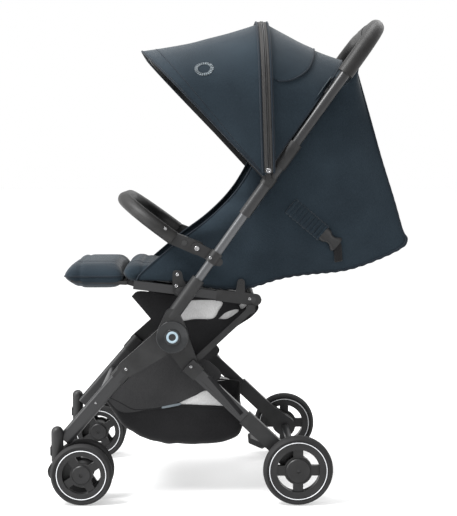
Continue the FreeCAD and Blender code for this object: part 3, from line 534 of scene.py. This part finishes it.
def arch_line(height, tilt):
    return np.array([canopy_point(x, r, tilt) for x, r in arch(height)])


def between(a, b, share, sag):
    """Line between two arches, drawn in towards the pivot by sag millimetres."""
    line = a + (b - a) * share
    centre = np.array(spot(0, CANOPY))
    inward = centre - line
    inward[:, 0] = -line[:, 0] * 0.4
    inward /= np.linalg.norm(inward, axis=1, keepdims=True)
    reach = np.linalg.norm(line[:, 1:] - centre[1:], axis=1)
    hold = np.clip((reach - 0.06) / 0.2, 0, 1)
    crease = np.array([noise.noise(Vector((p[0] * 9, p[1] * 16 + 3.7, p[2] * 5))) for p in line])
    return line + inward * (hold * (sag + 3.2 * crease) * MM * 4 * share * (1 - share))[:, None]


def blend_all(pieces, still, moving, begin, end):
    for piece in pieces:
        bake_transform(piece)


def piping(name, points, radius, closed=False):
    """Round binding in the dark cloth."""
    return cord_line(name, points, radius, NAVY_DARK, closed)


def canopy():
    front = arch_line(*FRONT_ARCH)
    middle = arch_line(*MIDDLE_ARCH)
    front_rows = [between(front, middle, k / 20, 7.0) for k in range(21)]
    panel = grid_piece("canopy_front_panel", front_rows)
    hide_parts("canopy_shell")
    seam = between(front, middle, 0.11, 7.0)
    hem = piping("canopy_front_hem", front, 2.2)
    stitch = piping("canopy_front_seam", outwards(seam, 0.7), 0.9)

    rear = arch_line(*REAR_ARCH)
    for k, (x, r) in enumerate(arch(REAR_ARCH[0])):
        side = smooth((abs(x) - 130) / 90)
        lean = math.degrees(math.asin(min(0.9, (TUBE_R + 3.5) / max(r, 20))))
        tilt = mix(REAR_ARCH[1] - 2, HANDLE + lean, side)
        tuck = 17.0 * side * smooth((r - 40) / 60)
        rear[k] = canopy_point(x - math.copysign(tuck, x), r, tilt)
    rows = [between(middle, rear, k / 16, 6.0) for k in range(17)]
    back = grid_piece("canopy_rear_panel", rows)
    rear_hem = piping("canopy_rear_hem", rear, 1.8)
    flap, flap_hem = peek_flap(middle, rear)

    for piece in zip_band(middle):
        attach(piece, "canopy_middle")
    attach(rear_hem, "upper_handle")
    for piece in (back, flap, flap_hem):
        canopy_bend(piece)
    for piece in (*emblem(panel), panel, hem, stitch):
        canopy_bend(piece)
    rear_link(rear)


def rear_link(rear):
    """Cloth between the canopy's rear hem and the top of the back cloth."""
    crown = rear[np.abs(rear[:, 0]) <= 0.196]
    crown = crown[crown[:, 2] > 0.85]
    y, z = REAR_EDGE[-1]
    low = []
    for x in crown[:, 0] / MM:
        low.append(spot(x, (y, z + 9.0 * smooth((abs(x) - SEAT_X) / 25.0))))
    low = np.array(low)
    rows = []
    for k in range(9):
        share = k / 8
        line = crown + (low - crown) * share
        line[:, 2] -= 0.006 * 4 * share * (1 - share)
        rows.append(line)
    piece = grid_piece("canopy_link", rows)
    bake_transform(piece)


def outwards(line, lift):
    centre = np.array(spot(0, CANOPY))
    out = line - centre
    out[:, 0] = line[:, 0]
    out /= np.linalg.norm(out, axis=1, keepdims=True)
    return line + out * lift * MM


def canopy_bend(piece):
    """Cloth between two bows: its placement is baked into its mesh."""
    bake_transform(piece)


def peek_flap(middle, rear):
    """Cloth flap over the rear panel, with a rounded corner on each side."""
    low_reach, high_reach = 212.0, 285.0
    picked = []
    for k, (x, r) in enumerate(arch(MIDDLE_ARCH[0])):
        if r >= low_reach:
            t = min(1.0, (r - low_reach) / (high_reach - low_reach))
            picked.append((k, 0.62 * math.sqrt(max(0.0, 1 - (1 - t) ** 2)) + 0.04))
    rows = []
    for i in range(13):
        row = []
        for k, end in picked:
            share = mix(0.035, end, i / 12)
            row.append(outwards(between(middle[k:k + 1], rear[k:k + 1], share, 6.0), 3.2)[0])
        rows.append(row)
    flap = grid_piece("canopy_peek_flap", rows, 1.6)
    edge = piping("canopy_flap_hem", rows[-1], 1.7)
    return flap, edge


def zip_band(middle):
    """Zip tape over the middle bow, with its coil, its piping and a chrome pull."""
    shift = np.array([0, 1, 0]) * MM
    lifted = outwards(middle, 2.4)
    rows = [lifted + shift * w for w in (-8.5, -4.5, 0, 4.5, 8.5)]
    tape = grid_piece("canopy_zip_tape", rows, 1.0, TAPE)
    made = [tape]
    for name, offset, radius, material in ZIP_CORDS:
        lift = 1.4 if radius > 2 else 3.2
        line = outwards(middle, lift) + shift * offset
        made.append(cord_line("canopy_zip_" + name, line, radius, material))
    for side, sign in SIDES:
        centre = spot(sign * (CANOPY_X + 3.0), along(CANOPY, MIDDLE_ARCH[1], 22.0))
        made.append(spun("canopy_zip_pull_" + side, centre, ZIP_PULL, sign, CHROME))
    return made


def emblem(panel):
    """Printed ring of short dashes on each side of the canopy."""
    made = []
    for side, sign in SIDES:
        centre = spot(sign * (CANOPY_X - 7.0), EMBLEM_PLACE)
        dashes = []
        for k in range(24):
            for a in (k * 15.0, k * 15.0 + 5.5, k * 15.0 + 11.0):
                turn = math.radians(a)
                dashes.append([centre + Vector((0, r * math.cos(turn), r * math.sin(turn))) * MM
                               for r in (19.5, 17.0, 14.5, 12.5)])
        points = [p for row in dashes for p in row]
        faces = []
        for k in range(len(dashes)):
            if k % 3 < 2:
                faces += [(k * 4 + j, k * 4 + j + 1, k * 4 + j + 5, k * 4 + j + 4) for j in range(3)]
        piece = new_piece("canopy_ring_" + side, points, faces, EMBLEM)
        thicken(piece, 0.4, 0)
        made.append(lay_on(piece, panel, 0.9))
    return made


# ---- seat cloth ----
def tube_line(low, high, count, x_low):
    """Edge of the seat cloth along the handle tube, by distance from the canopy pivot."""
    line = []
    for k in range(count):
        run = mix(low, high, k / (count - 1))
        x = mix(x_low, TUBE_X - TUBE_R - 9.0, smooth((run + 175) / 120)) - 3.5 * smooth((run - 90) / 60)
        ahead = 13.0 * smooth((run - 5) / 60) - 31.0 * smooth((run - 212) / 50)
        line.append((x, *along(on_tube(run), HANDLE + 90, ahead)))
    return np.array(line)


def to_row(line, sign=1):
    return np.array([spot(sign * p[0], (p[1], p[2])) for p in line])


def cloth_patch(name, near, far, sign, bulge, folds, seed, rows=22):
    """Sewn panel between two lines of (X, Y, Z), bulging outwards."""
    grid = []
    for i in range(rows):
        share = i / (rows - 1)
        line = near + (far - near) * share
        push = bulge * 4 * share * (1 - share)
        wave = ripple(line, 90.0, folds * 4 * share * (1 - share), seed)
        line = line + np.array([[push + w, 0, 0] for w in wave])
        grid.append(to_row(line, sign))
    return grid_piece(name, grid, 1.5), grid


REAR_EDGE = [(-205, 455), (-150, 449), (-100, 452), (-39, 470), (12, 479), (92, 487), (136, 498),
             (180, 515), (208, 528), (226, 539), (233, 548), (232, 557), (223, 572), (204, 636),
             (176, 724), (150, 814), (124, 903)]
WING_EDGE = [(-338, 466), (-331, 479), (-296, 510), (-247, 550), (-198, 586), (-158, 622), (-125, 660),
             (-100, 700), (-82, 735)]
WING_BEND = (spot(0, (-120, 680)), spot(0, (-262, 480)))


def seat_cloth():
    inner = SEAT_X - 1.2
    edge = flow([(inner, *p) for p in REAR_EDGE], 60)
    tube = tube_line(-262, 300, 60, inner)
    wing = flow([(mix(inner, TUBE_X - TUBE_R - 10, smooth((p[1] - 600) / 90)), *p) for p in WING_EDGE], 40)
    wing_tube = tube_line(-262, 40, 40, inner)
    bend = side_bend()
    for side, sign in SIDES:
        rear, grid = cloth_patch("seat_side_" + side, tube, edge, sign, 6.0, 4.0, 1.3 + sign)
        hem = piping("seat_side_binding_" + side, gathered(to_row(edge, sign)), 3.0)
        blend_all((rear, hem), "main_frame", "seat_frame", *bend)
        front, grid = cloth_patch("seat_wing_" + side, wing_tube, wing, sign, 3.0, 6.0, 2.1 + sign)
        edging = piping("seat_wing_piping_" + side, to_row(wing, sign), 2.2)
        blend_all((front, edging), "main_frame", "seat_frame", *WING_BEND)
        recline_strap(side, sign, rear, bend)
        tube_wrap(side, sign)
    back_cloth(edge, bend)


WRAP_SECTION = ((200.5, 12.0), (203.0, 17.0), (209.0, 19.6), (217.0, 20.2), (225.5, 19.4))


def tube_wrap(side, sign):
    """Strip of the seat cloth round the front of the handle tube, out to the canopy's edge."""
    grid = []
    for x, ahead in WRAP_SECTION:
        row = []
        for k in range(31):
            run = mix(30.0, 250.0, k / 30)
            inward = 3.0 * smooth((run - 90) / 60) if x < 205 else 0.0
            row.append(spot(sign * (x - inward), along(on_tube(run), HANDLE + 90, ahead)))
        grid.append(row)
    piece = grid_piece("seat_wrap_" + side, grid, 1.2)
    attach(piece, "main_frame")


def gathered(line):
    """Edge line with the small waves of an elastic binding."""
    fine = flow(line, 4 * len(line))
    fine[:, 2] += 1.1 * MM * np.sin(np.arange(len(fine)) * 1.1) * np.linspace(1, 0.2, len(fine))
    return fine


def side_bend():
    """Two points: on the handle line 60 mm below the canopy pivot, and 285 mm from there square to the
    handle.
    """
    start_point = spot(0, on_tube(-60))
    down = along(on_tube(-60), HANDLE - 90, 285.0)
    return start_point, spot(0, down)


def back_cloth(edge, bend):
    """Floor and rear wall of the seat hammock, one sheet from side to side."""
    line = edge[10:]
    grid = []
    for i, p in enumerate(line):
        share = i / (len(line) - 1)
        step = line[min(i + 1, len(line) - 1)] - line[max(i - 1, 0)]
        out = np.array([step[2], -step[1]]) / np.hypot(step[1], step[2])
        row = []
        for k in range(29):
            u = k / 14 - 1
            sag = 9.0 * (1 - abs(u) ** 3) * smooth(share * 6) * smooth((1 - share) * 8)
            fold = 1.6 * noise.noise(Vector((u * 3, share * 9, 4.2)))
            x = u * p[0]
            row.append(spot(x, (p[1] + out[0] * (sag + fold), p[2] + out[1] * (sag + fold))))
        grid.append(row)
    piece = grid_piece("seat_back_cloth", grid, 1.5)
    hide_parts("seat_shell")
    top = piping("seat_back_top_hem", grid[-1], 2.4)
    blend_all((piece, top), "main_frame", "seat_frame", *bend)


def panel_spot(panel, sign, point, lift):
    """Point lift millimetres outside the panel, at (Y, Z)."""
    far = spot(sign * 400.0, point)
    hit, place, _, _ = panel.ray_cast(far, Vector((-sign, 0, 0)))
    return (place if hit else spot(sign * SEAT_X, point)) + Vector((sign * lift * MM, 0, 0))


STRAP_TOP, STRAP_LOW = (-16.0, 626.0), (56.0, 565.0)
STRAP_END = (88.0, 506.0)
SLEEVE = ((-1, -0.5), (-0.85, 0.6), (-0.4, 1.0), (0.4, 1.0), (0.85, 0.6), (1, -0.5), (0.4, -0.8),
          (-0.4, -0.8))


def recline_strap(side, sign, panel, bend):
    """Gathered sleeve, webbing and side-release buckle on the outside of the rear cloth."""
    angle = math.degrees(math.atan2(STRAP_LOW[1] - STRAP_TOP[1], STRAP_LOW[0] - STRAP_TOP[0]))
    across = Vector((0, -math.sin(math.radians(angle)), math.cos(math.radians(angle))))
    length = math.dist(STRAP_TOP, STRAP_LOW)
    rings = []
    for k in range(46):
        run = length * k / 45
        fold = abs(math.sin(k * math.pi / 4.5))
        centre = panel_spot(panel, sign, along(STRAP_TOP, angle, run), 1.0)
        width, height = 19.0 + 2.2 * fold, 1.4 + 4.4 * fold
        rings.append([centre + across * u * width * MM + Vector((sign * v * height * MM, 0, 0))
                      for u, v in SLEEVE])
    sleeve = loft("recline_sleeve_" + side, rings, NAVY, 1)
    body = buckle("recline_buckle_" + side, panel, along(STRAP_LOW, angle, 16.0), angle, sign)
    tail = flow([along(STRAP_LOW, angle, 24.0), along(STRAP_LOW, angle, 36.0), (86.0, 528.0), STRAP_END], 14)
    web = strap("recline_web_" + side, [panel_spot(panel, sign, p, 2.5) for p in tail], 18.0, across)
    blend_all((sleeve, body, web), "main_frame", "seat_frame", *bend)


BUCKLE_HALVES = ((-20, 14.0), (-19, 15.5), (-7, 15.5), (-6, 12.5), (-3, 10.5), (3, 9.8), (8, 11.0),
                 (13, 16.0), (17, 18.5), (20, 17.0), (22, 12.0))
BUCKLE_SECTION = ((-1, 0), (-0.92, 5.2), (-0.6, 6.0), (-0.55, 4.2), (0, 4.4), (0.55, 4.2), (0.6, 6.0),
                  (0.92, 5.2), (1, 0), (0.9, -0.4), (0, -0.6), (-0.9, -0.4))


def buckle(name, panel, centre, angle, sign):
    """Side-release buckle: body, waist and two arms, as one outline of varying width."""
    turn = math.radians(angle)
    across = Vector((0, -math.sin(turn), math.cos(turn)))
    rings = []
    for run, half in BUCKLE_HALVES:
        base = panel_spot(panel, sign, along(centre, angle, run), 2.0)
        rings.append([base + across * u * half * MM + Vector((sign * v * MM, 0, 0))
                      for u, v in BUCKLE_SECTION])
    return loft(name, rings, PLASTIC, 1)


# ---- pads, sizes in millimetres and degrees ----
CHANNEL_X = 98.0
PILLOW_CORNER = 18.0
BACK_TILT = 14.0


def pillow(name, half, front, rear, top, bottom):
    """Closed pad on rounded-corner plan; top and bottom give Z in millimetres at (X, Y)."""
    rows, columns, corner = 40, 56, PILLOW_CORNER
    upper, lower = [], []
    for i in range(rows + 1):
        v = i / rows * 2 - 1
        y = mix(front, rear, i / rows)
        into_corner = max(0.0, (abs(v) * (rear - front) / 2 - (rear - front) / 2 + corner) / corner)
        inset = corner * (1 - math.sqrt(1 - into_corner ** 2))
        for j in range(columns + 1):
            u = j / columns * 2 - 1
            x = u * (half - inset)
            swell = ((1 - abs(u) ** 10) * (1 - abs(v) ** 8)) ** 0.5
            middle = mix(bottom(x, y), top(x, y), 0.45)
            upper.append(spot(x, (y, mix(middle, top(x, y), swell))))
            lower.append(spot(x, (y, mix(middle, bottom(x, y), swell))))
    wide = columns + 1
    total = len(upper)
    faces = []
    for i in range(rows):
        for j in range(columns):
            k = i * wide + j
            faces.append((k, k + wide, k + wide + 1, k + 1))
            faces.append((total + k, total + k + 1, total + k + wide + 1, total + k + wide))
    piece = new_piece(name, upper + lower, faces, NAVY)
    work = bmesh.new()
    work.from_mesh(piece.data)
    bmesh.ops.remove_doubles(work, verts=work.verts, dist=2e-4)
    bmesh.ops.recalc_face_normals(work, faces=work.faces)
    work.to_mesh(piece.data)
    work.free()
    return piece


def seam_x(x):
    return lambda p: np.abs(np.abs(p[:, 0]) - x * MM)


def seam_y(y):
    return lambda p: np.abs(p[:, 1] - (AXLE_Y + y * MM))


def seat_slope(y):
    """Height of the seat cushion's top face."""
    return 497.0 - 0.126 * (y + 348.0)


def calf_cushion():
    def top(x, y):
        return 494.0 + 5.0 * (1 - (x / 167) ** 2) - 5.0 * smooth((-470 - y) / 26)

    def bottom(x, y):
        return 450.0 + 10.0 * smooth((-455 - y) / 40)

    calf = pillow("calf_cushion", 163.0, -496.0, -366.0, top, bottom)
    puff(calf, 4.5)
    groove(calf, seam_y(-461.0), 2.0, 4.5)
    groove(calf, seam_x(CHANNEL_X), 1.8, 4.5)
    ring = []
    for k in range(120):
        a = 2 * math.pi * k / 120
        far = spot(500.0 * math.cos(a), (-430.0 + 500.0 * math.sin(a), 473.0))
        hit, place, normal, _ = calf.ray_cast(far, (spot(0, (-430.0, 473.0)) - far).normalized())
        ring.append(place + normal * 0.6 * MM)
    cord = piping("calf_piping", ring, 1.8, True)
    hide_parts("calf_pad")
    for piece in (calf, cord):
        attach(piece, "calf_rest")


def seat_cushion():
    def top(x, y):
        return seat_slope(y) + 5.0 * smooth((-310 - y) / 40) * (1 - (x / 167) ** 2)

    def bottom(x, y):
        return seat_slope(y) - 26.0 - 14.0 * smooth((-325 - y) / 20)

    seat = pillow("seat_cushion", 162.0, -374.0, -143.0, top, bottom)
    puff(seat, 5.0)
    groove(seat, seam_x(CHANNEL_X), 2.4, 5.0)
    for y in (-327.0, -262.0, -196.0):
        groove(seat, seam_y(y), 2.2, 5.0)
    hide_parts("seat_pad")
    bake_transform(seat)


def back_cushion():
    back = cloth_copy("back_cushion", "back_pad", 4.0)
    puff(back, 7.0)
    groove(back, seam_x(CHANNEL_X), 2.4, 5.0)
    for run in (95.0, 190.0, 285.0):
        groove(back, seam_y(along(BACK, BACK_TILT, run)[0]), 2.2, 5.0)
    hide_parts("back_pad")
    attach(back, "backrest")


PAD_SECTION = ((-1, 0), (-0.75, 1), (0, 1.15), (0.75, 1), (1, 0), (0.75, -1), (0, -1.0), (-0.75, -1))


def harness():
    """Shoulder pads, shoulder webbing and the straps from the pads down to the buckle."""
    for name, centre_x in (("left", 47.0), ("right", -47.0)):
        lift = along(along(BACK, BACK_TILT, 70.0), BACK_TILT + 90, 36.0)
        rings = []
        for k in range(26):
            run = k * 8.0
            centre = along(lift, BACK_TILT, run)
            end = min(1.0, 0.55 + 0.45 * smooth(min(k, 25 - k) / 3))
            ring = []
            for u, v in PAD_SECTION:
                p = along(centre, BACK_TILT + 90, v * 3.6 * end)
                ring.append(spot(centre_x + u * 15.0 * end, p))
            rings.append(ring)
        pad = loft("harness_pad_" + name, rings, BLACK, 1)
        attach(pad, "backrest")
        if name == "left":
            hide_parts("harness_pads")
        line = [along(lift, BACK_TILT, r) for r in (195.0, 225.0, 250.0)]
        line.append(along(along(lift, BACK_TILT, 268.0), BACK_TILT - 90, 8.0))
        web = strap("harness_web_" + name, [spot(centre_x, p) for p in line], 20.0)
        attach(web, "backrest")
        buckle_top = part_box("harness_buckle")[1]
        seat_end = ((buckle_top.y - AXLE_Y) / MM - 8.0, buckle_top.z / MM - 5.0)
        start_point = along(lift, BACK_TILT, 4.0)
        bow = (mix(start_point[0], seat_end[0], 0.5), mix(start_point[1], seat_end[1], 0.5) + 7.0)
        points = flow([(centre_x, *start_point), (centre_x * 0.75, *bow), (centre_x * 0.42, *seat_end)], 16)
        lap = strap("harness_lap_" + name, [spot(p[0], p[1:]) for p in points], 18.0)
        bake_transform(lap)


# ---- storage basket and under-seat pouch ----
BASKET = [(-409, 213, 221), (-378, 158, 206), (-345, 132, 190), (-300, 114, 192), (-252, 109, 198),
          (-190, 109, 196), (-150, 115, 193), (-122, 128, 190), (-113, 150, 188)]
TAG = [(-286, 196), (-250, 203), (-249, 199), (-285, 192)]
UPPER_PANEL = [(-405, 214), (-371, 184), (-310, 191), (-249, 205), (-215, 222), (-190, 233), (-160, 262),
               (-176, 285), (-200, 300), (-240, 312), (-290, 322), (-322, 308), (-358, 272), (-390, 240)]
BASKET_WINDOW = [(-252, 202), (-215, 219), (-190, 229), (-160, 205), (-136, 192), (-190, 190), (-245, 190)]
BASKET_BEND = (spot(0, (-240, 150)), spot(0, (-405, 205)))


def basket():
    """Sagging cloth basket: each station is (Y, bottom Z, rim Z)."""
    stations = flow(BASKET, 40)
    half = SEAT_X - 1.5
    grid = []
    for y, low, high in stations:
        drop = max(high - low, 6.0)
        corner = min(26.0, drop * 0.7)
        line = [(half, high), (half - 0.5, mix(high, low + corner, 0.5)), (half - 1.0, low + corner)]
        line += [(half - 1 - corner * (1 - math.cos(a)), low + corner * (1 - math.sin(a)))
                 for a in (math.pi / 8, math.pi / 4, math.pi * 3 / 8, math.pi / 2)]
        line += [(half * 0.5, low - 2.0), (0.0, low - 3.0)]
        line += [(-x, z) for x, z in line[-2::-1]]
        row = []
        for x, z in flow(line, 45):
            fold = 3.4 * noise.noise(Vector((x / 70, y / 22, z / 40)))
            row.append(spot(x, (y, z + fold * (1 - smooth((z - low) / drop) * 0.7))))
        grid.append(row)
    body = grid_piece("basket_body", grid, 1.6, BLACK)
    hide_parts("basket")
    edges = (("left", [row[0] for row in grid], 2.2, BLACK),
             ("right", [row[-1] for row in grid], 2.6, WEBBING),
             ("front", grid[0], 2.6, WEBBING), ("rear", grid[-1], 2.6, WEBBING))
    rims = [cord_line("basket_rim_" + name, line, radius, material)
            for name, line, radius, material in edges]
    blend_all([body] + rims, "rear_frame", "front_frame", *BASKET_BEND)
    for side, sign in SIDES:
        x = sign * (SEAT_X - 0.5)
        upper = flat_panel("basket_upper_" + side, UPPER_PANEL, x, CHARCOAL)
        # pale net window: painted light of the backdrop seen through the net
        window = flat_panel("basket_window_" + side, BASKET_WINDOW, x - sign * 2.5, NET_PAINTED_BACKLIGHT, 0.6)
        tag = flat_panel("basket_tag_" + side, TAG, x + sign * 1.5, EMBLEM, 0.6)
        blend_all((upper, window, tag), "rear_frame", "front_frame", *BASKET_BEND)
        flat_sheet(UPPER_PANEL)
        flat_sheet(BASKET_WINDOW)
        flat_sheet(TAG)


def flat_panel(name, outline, x, material, thickness=1.6, holes=()):
    """Upright cloth panel in a plane of constant X, with holes."""
    curve = bpy.data.curves.new(name, "CURVE")
    curve.dimensions = "2D"
    curve.fill_mode = "BOTH"
    curve.extrude = thickness * MM / 2
    for loop in (outline, *holes):
        line = curve.splines.new("POLY")
        ring = flow(list(loop) + [loop[0]], 8 * len(loop))[:-1]
        line.points.add(len(ring) - 1)
        for point, (y, z) in zip(line.points, ring):
            point.co = (AXLE_Y + y * MM, z * MM, 0, 1)
        line.use_cyclic_u = True
    mesh = curve_mesh(name, curve)
    for vertex in mesh.vertices:
        y, z, out = vertex.co
        vertex.co = (x * MM + out, y, z)
    mesh.materials.append(material)
    piece = add(name, mesh)
    return piece


def ring_area(outline):
    """Area inside the smoothed outline of a flat panel, and its two spans, in mm."""
    ring = flow(list(outline) + [outline[0]], 8 * len(outline))[:-1]
    y, z = np.array(ring).T
    area = abs(float(np.dot(y, np.roll(z, -1)) - np.dot(z, np.roll(y, -1)))) / 2
    return area, float(np.ptp(y)), float(np.ptp(z))


def flat_sheet(outline, holes=()):
    """Area of an upright flat panel less its holes; the result isn't used."""
    area, wide, tall = ring_area(outline)
    area -= sum(ring_area(hole)[0] for hole in holes)


POUCH = [(-350, 432), (-336, 443), (-300, 440), (-245, 432), (-158, 428), (-95, 420), (-80, 408),
         (-95, 388), (-128, 366), (-160, 340), (-190, 312), (-214, 300), (-246, 318), (-284, 350),
         (-310, 384)]
POUCH_HOLES = ([(-248, 421), (-200, 424), (-158, 420), (-166, 400), (-178, 384), (-215, 383), (-258, 381)],
               [(-166, 383), (-150, 397), (-128, 404), (-124, 399), (-146, 384)],
               [(-122, 412), (-114, 417), (-106, 413), (-116, 404)])
POUCH_NET = [(-262, 426), (-200, 428), (-150, 424), (-106, 418), (-108, 404), (-140, 380), (-180, 378),
             (-264, 376)]
POUCH_FLOOR = [(-318, 436), (-314, 412), (-303, 388), (-284, 354), (-246, 322), (-214, 305), (-188, 318),
               (-158, 345), (-128, 370), (-97, 392)]
POUCH_BEND = (spot(0, (-262, 330)), spot(0, (-240, 420)))


def pouch():
    """Black cloth pouch slung under the seat, with net windows on each side, pale with painted light from
    the backdrop behind the net.
    """
    for side, sign in SIDES:
        x = sign * (SEAT_X - 5.0)
        panel = flat_panel("pouch_side_" + side, POUCH, x, BLACK, holes=POUCH_HOLES)
        # pale net window: painted light of the backdrop seen through the net
        net = flat_panel("pouch_net_" + side, POUCH_NET, x - sign * 3.0, NET_PAINTED_BACKLIGHT, 0.6)
        blend_all((panel, net), "main_frame", "seat_frame", *POUCH_BEND)
        flat_sheet(POUCH, POUCH_HOLES)
        flat_sheet(POUCH_NET)
    grid = []
    under = flow(POUCH_FLOOR, 40)
    half = SEAT_X - 6.0
    for y, z in under:
        grid.append([spot(half * u / 10, (y, z - 3.0 * (1 - (u / 10) ** 4) * abs(math.sin(y / 9))))
                     for u in range(-10, 11)])
    floor = grid_piece("pouch_floor", grid, 1.4, BLACK)
    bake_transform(floor)


# ---- small hardware ----
PIVOT_HEAD = [(-0.5, 5.6), (0.6, 5.6), (1.6, 4.8), (2.2, 3.0), (1.2, 2.4), (1.1, 0.1)]
JOIN_HEAD = [(-1.5, 3.4), (0.6, 3.4), (1.2, 2.8), (1.5, 1.4), (0.5, 0.1)]
BRACKET_HEAD = [(-0.5, 4.0), (0.4, 4.0), (1.2, 3.4), (1.7, 2.0), (0.6, 1.6), (0.5, 0.1)]
HUB_DISC = [(-1.0, 33.5), (0.9, 33.5), (1.6, 32.6), (1.6, 31.4), (0.7, 30.4), (0.6, 0.1)]
HUB_RING = [(-0.4, 12.5), (0.5, 12.2), (0.7, 11.0), (0.7, 8.6), (0.5, 7.6), (-0.4, 7.4)]
BRACKET = [(-262, 443), (-230, 439), (-231, 452), (-240, 470), (-243, 484), (-252, 489), (-262, 483)]
BUMPER_JOIN = (-276.0, 578.0)


def screw(name, place, profile, sign, body):
    head = spun(name, place, profile, sign, CHROME)
    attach(head, body)


def rivets():
    """Domed screws with a socket; heads holds (name, X, (Y, Z), radius, body)."""
    heads = (("front_leg_screw", 207.4, (-360.0, 283.0), 3.4, "front_frame"),
             ("front_leg_screw_low", 206.2, (-424.0, 211.0), 2.6, "front_frame"),
             ("rear_leg_screw", 207.6, (-224.0, 288.0), 3.4, "rear_frame"),
             ("collar_screw", TUBE_X + 13.0, (-183.0, 519.0), 3.4, "main_frame"),
             ("rail_screw", 181.8, (-100.0, 428.0), 3.6, "seat_frame"))
    for name, x, centre, radius, body in heads:
        for side, sign in SIDES:
            profile = [(-0.5, radius), (0.4, radius), (1.2, radius * 0.86), (1.7, radius * 0.5),
                       (1.6, radius * 0.4), (0.4, radius * 0.36), (0.35, 0.1)]
            screw(name + "_" + side, spot(sign * x, centre), profile, sign, body)


def pivot_screws():
    """Large screw on each collar's ear over the bumper's pivot, and a small one on the bar."""
    bar = frame["nodes"]["bumper_bar"]
    for side, sign in SIDES:
        face = panel_spot(frame["nodes"]["tube_collars"], sign, BUMPER, 0.1)
        screw("bumper_pivot_screw_" + side, face, PIVOT_HEAD, sign, "main_frame")
        face = panel_spot(bar, sign, BUMPER_JOIN, 0.1)
        screw("bumper_join_screw_" + side, face, JOIN_HEAD, sign, bar["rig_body"])


def seat_brackets():
    """Plate on each seat rail beside the handle tube, with two screws."""
    for side, sign in SIDES:
        x = SEAT_X + 15.0
        plate = flat_panel("seat_bracket_" + side, BRACKET, sign * x, PLASTIC, 3.0)
        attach(plate, "seat_frame")
        for name, centre in (("upper", (-252.0, 480.0)), ("lower", (-254.0, 456.0))):
            place = spot(sign * (x + 1.5), centre)
            screw("seat_bracket_screw_%s_%s" % (name, side), place, BRACKET_HEAD, sign, "seat_frame")


def hub_badges():
    """Gloss disc on each hub, and a plain pale ring on its cap."""
    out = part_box("hub_caps")[1].x / MM
    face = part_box("hub_housings")[1].x / MM
    for side, sign in SIDES:
        disc = spun("hub_disc_" + side, spot(sign * face, HUB), HUB_DISC, sign, CAP, 64)
        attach(disc, frame["nodes"]["hub_housings"]["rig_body"])
        rim = spun("hub_ring_" + side, spot(sign * out, HUB), HUB_RING, sign, BADGE)
        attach(rim, frame["nodes"]["hub_caps"]["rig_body"])


def leg_recess_shade_strips():
    """Black strip along the outer face of each rear leg: painted shade of the leg's recess."""
    for side, sign in SIDES:
        line = [spot(sign * 203.9, (mix(-186.0, -117.0, k / 10), mix(268.0, 186.0, k / 10)))
                for k in range(11)]
        # black cloth strip painted as the shade in the leg's recess
        strip = strap("rear_leg_channel_" + side, line, 9.0, Vector((0, 0.76, 0.65)), 0.8, BLACK)
        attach(strip, "rear_frame")


def wheel_highlight_rings():
    """Pale ring between the tyre and the rim of each wheel: a painted highlight standing for the light arcs
    that the wheels reflect.
    """
    for name in frame["nodes"]:
        if not name.endswith("_tyre"):
            continue
        centre = sum(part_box(name), Vector()) / 2
        rim_low, rim_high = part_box(name.replace("_tyre", "_rim"))
        ring_r = (rim_high.z - rim_low.z) / 2 / MM - 1.5
        half = (rim_high.x - rim_low.x) / 2 / MM
        for side, sign in SIDES:
            line = []
            for k in range(72):
                a = 2 * math.pi * k / 72
                out = Vector((sign * (half - 0.3), ring_r * math.cos(a), ring_r * math.sin(a))) * MM
                line.append(centre + out)
            # each pale cord paints the wheel's highlight arc
            piece = cord_line(name.replace("_tyre", "_ring_") + side, line, 0.9, PAINTED_HIGHLIGHT_RING, True)
            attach(piece, frame["nodes"][name]["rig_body"])


# ---- floor, light and camera ----
def floor_paint():
    made, tree, shader = start("floor_paint", 0.9, Emission_Color=(1, 1, 1, 1), Emission_Strength=0.42)
    two_tone(tree, shader, speckle(tree, (3, 3, 3)), (0.54, 0.54, 0.54), (0.56, 0.56, 0.56))
    return made


def studio():
    floor = new_piece("floor", [(-30, -30, 0), (30, -30, 0), (30, 30, 0), (-30, 30, 0)], [(0, 1, 2, 3)],
                      floor_paint())
    world = bpy.data.worlds.new("studio")
    bpy.context.scene.world = world
    world.use_nodes = True
    world.node_tree.nodes["Background"].inputs["Color"].default_value = (1.0, 1.0, 1.0, 1)
    world.node_tree.nodes["Background"].inputs["Strength"].default_value = 1.0
    centre = spot(0, (-140, 500))
    lamps = (("key", (1.1, -1.9, 2.7), 1.3, 185.0), ("top", (-0.4, 0.2, 3.0), 1.8, 75.0),
             ("front", (0.9, -2.6, 0.5), 1.2, 42.0), ("back", (-2.0, 1.6, 2.0), 1.6, 25.0))
    for name, place, size, power in lamps:
        lamp = bpy.data.lights.new(name, "AREA")
        lamp.size = size
        lamp.energy = power
        made = add(name, lamp)
        made.location = centre + Vector(place)
        made.rotation_mode = "QUATERNION"
        made.rotation_quaternion = (centre - made.location).to_track_quat("-Z", "Y")
    bpy.context.scene.view_settings.view_transform = "Standard"


CAMERA_PLACE = (2734.0, (-190.9, 715.7))
CAMERA_DOWN = 4.504
CAMERA_TURN = 1.037
FOCAL_IN_HEIGHTS = 1216.0 / 516.0


def camera():
    lens = bpy.data.cameras.new("camera")
    lens.sensor_width = 36.0
    lens.lens = FOCAL_IN_HEIGHTS * lens.sensor_width
    lens.clip_start, lens.clip_end = 0.05, 100.0
    made = add("camera", lens)
    made.location = spot(*CAMERA_PLACE)
    down, turn = math.radians(CAMERA_DOWN), math.radians(CAMERA_TURN)
    ahead = Vector((-math.cos(down) * math.cos(turn), math.cos(down) * math.sin(turn), -math.sin(down)))
    made.rotation_mode = "QUATERNION"
    made.rotation_quaternion = ahead.to_track_quat("-Z", "Y")
    bpy.context.scene.camera = made


camera()
studio()
dress_frame()
canopy()
seat_cloth()
calf_cushion()
seat_cushion()
back_cushion()
harness()
basket()
pouch()
rivets()
pivot_screws()
seat_brackets()
hub_badges()
leg_recess_shade_strips()
wheel_highlight_rings()
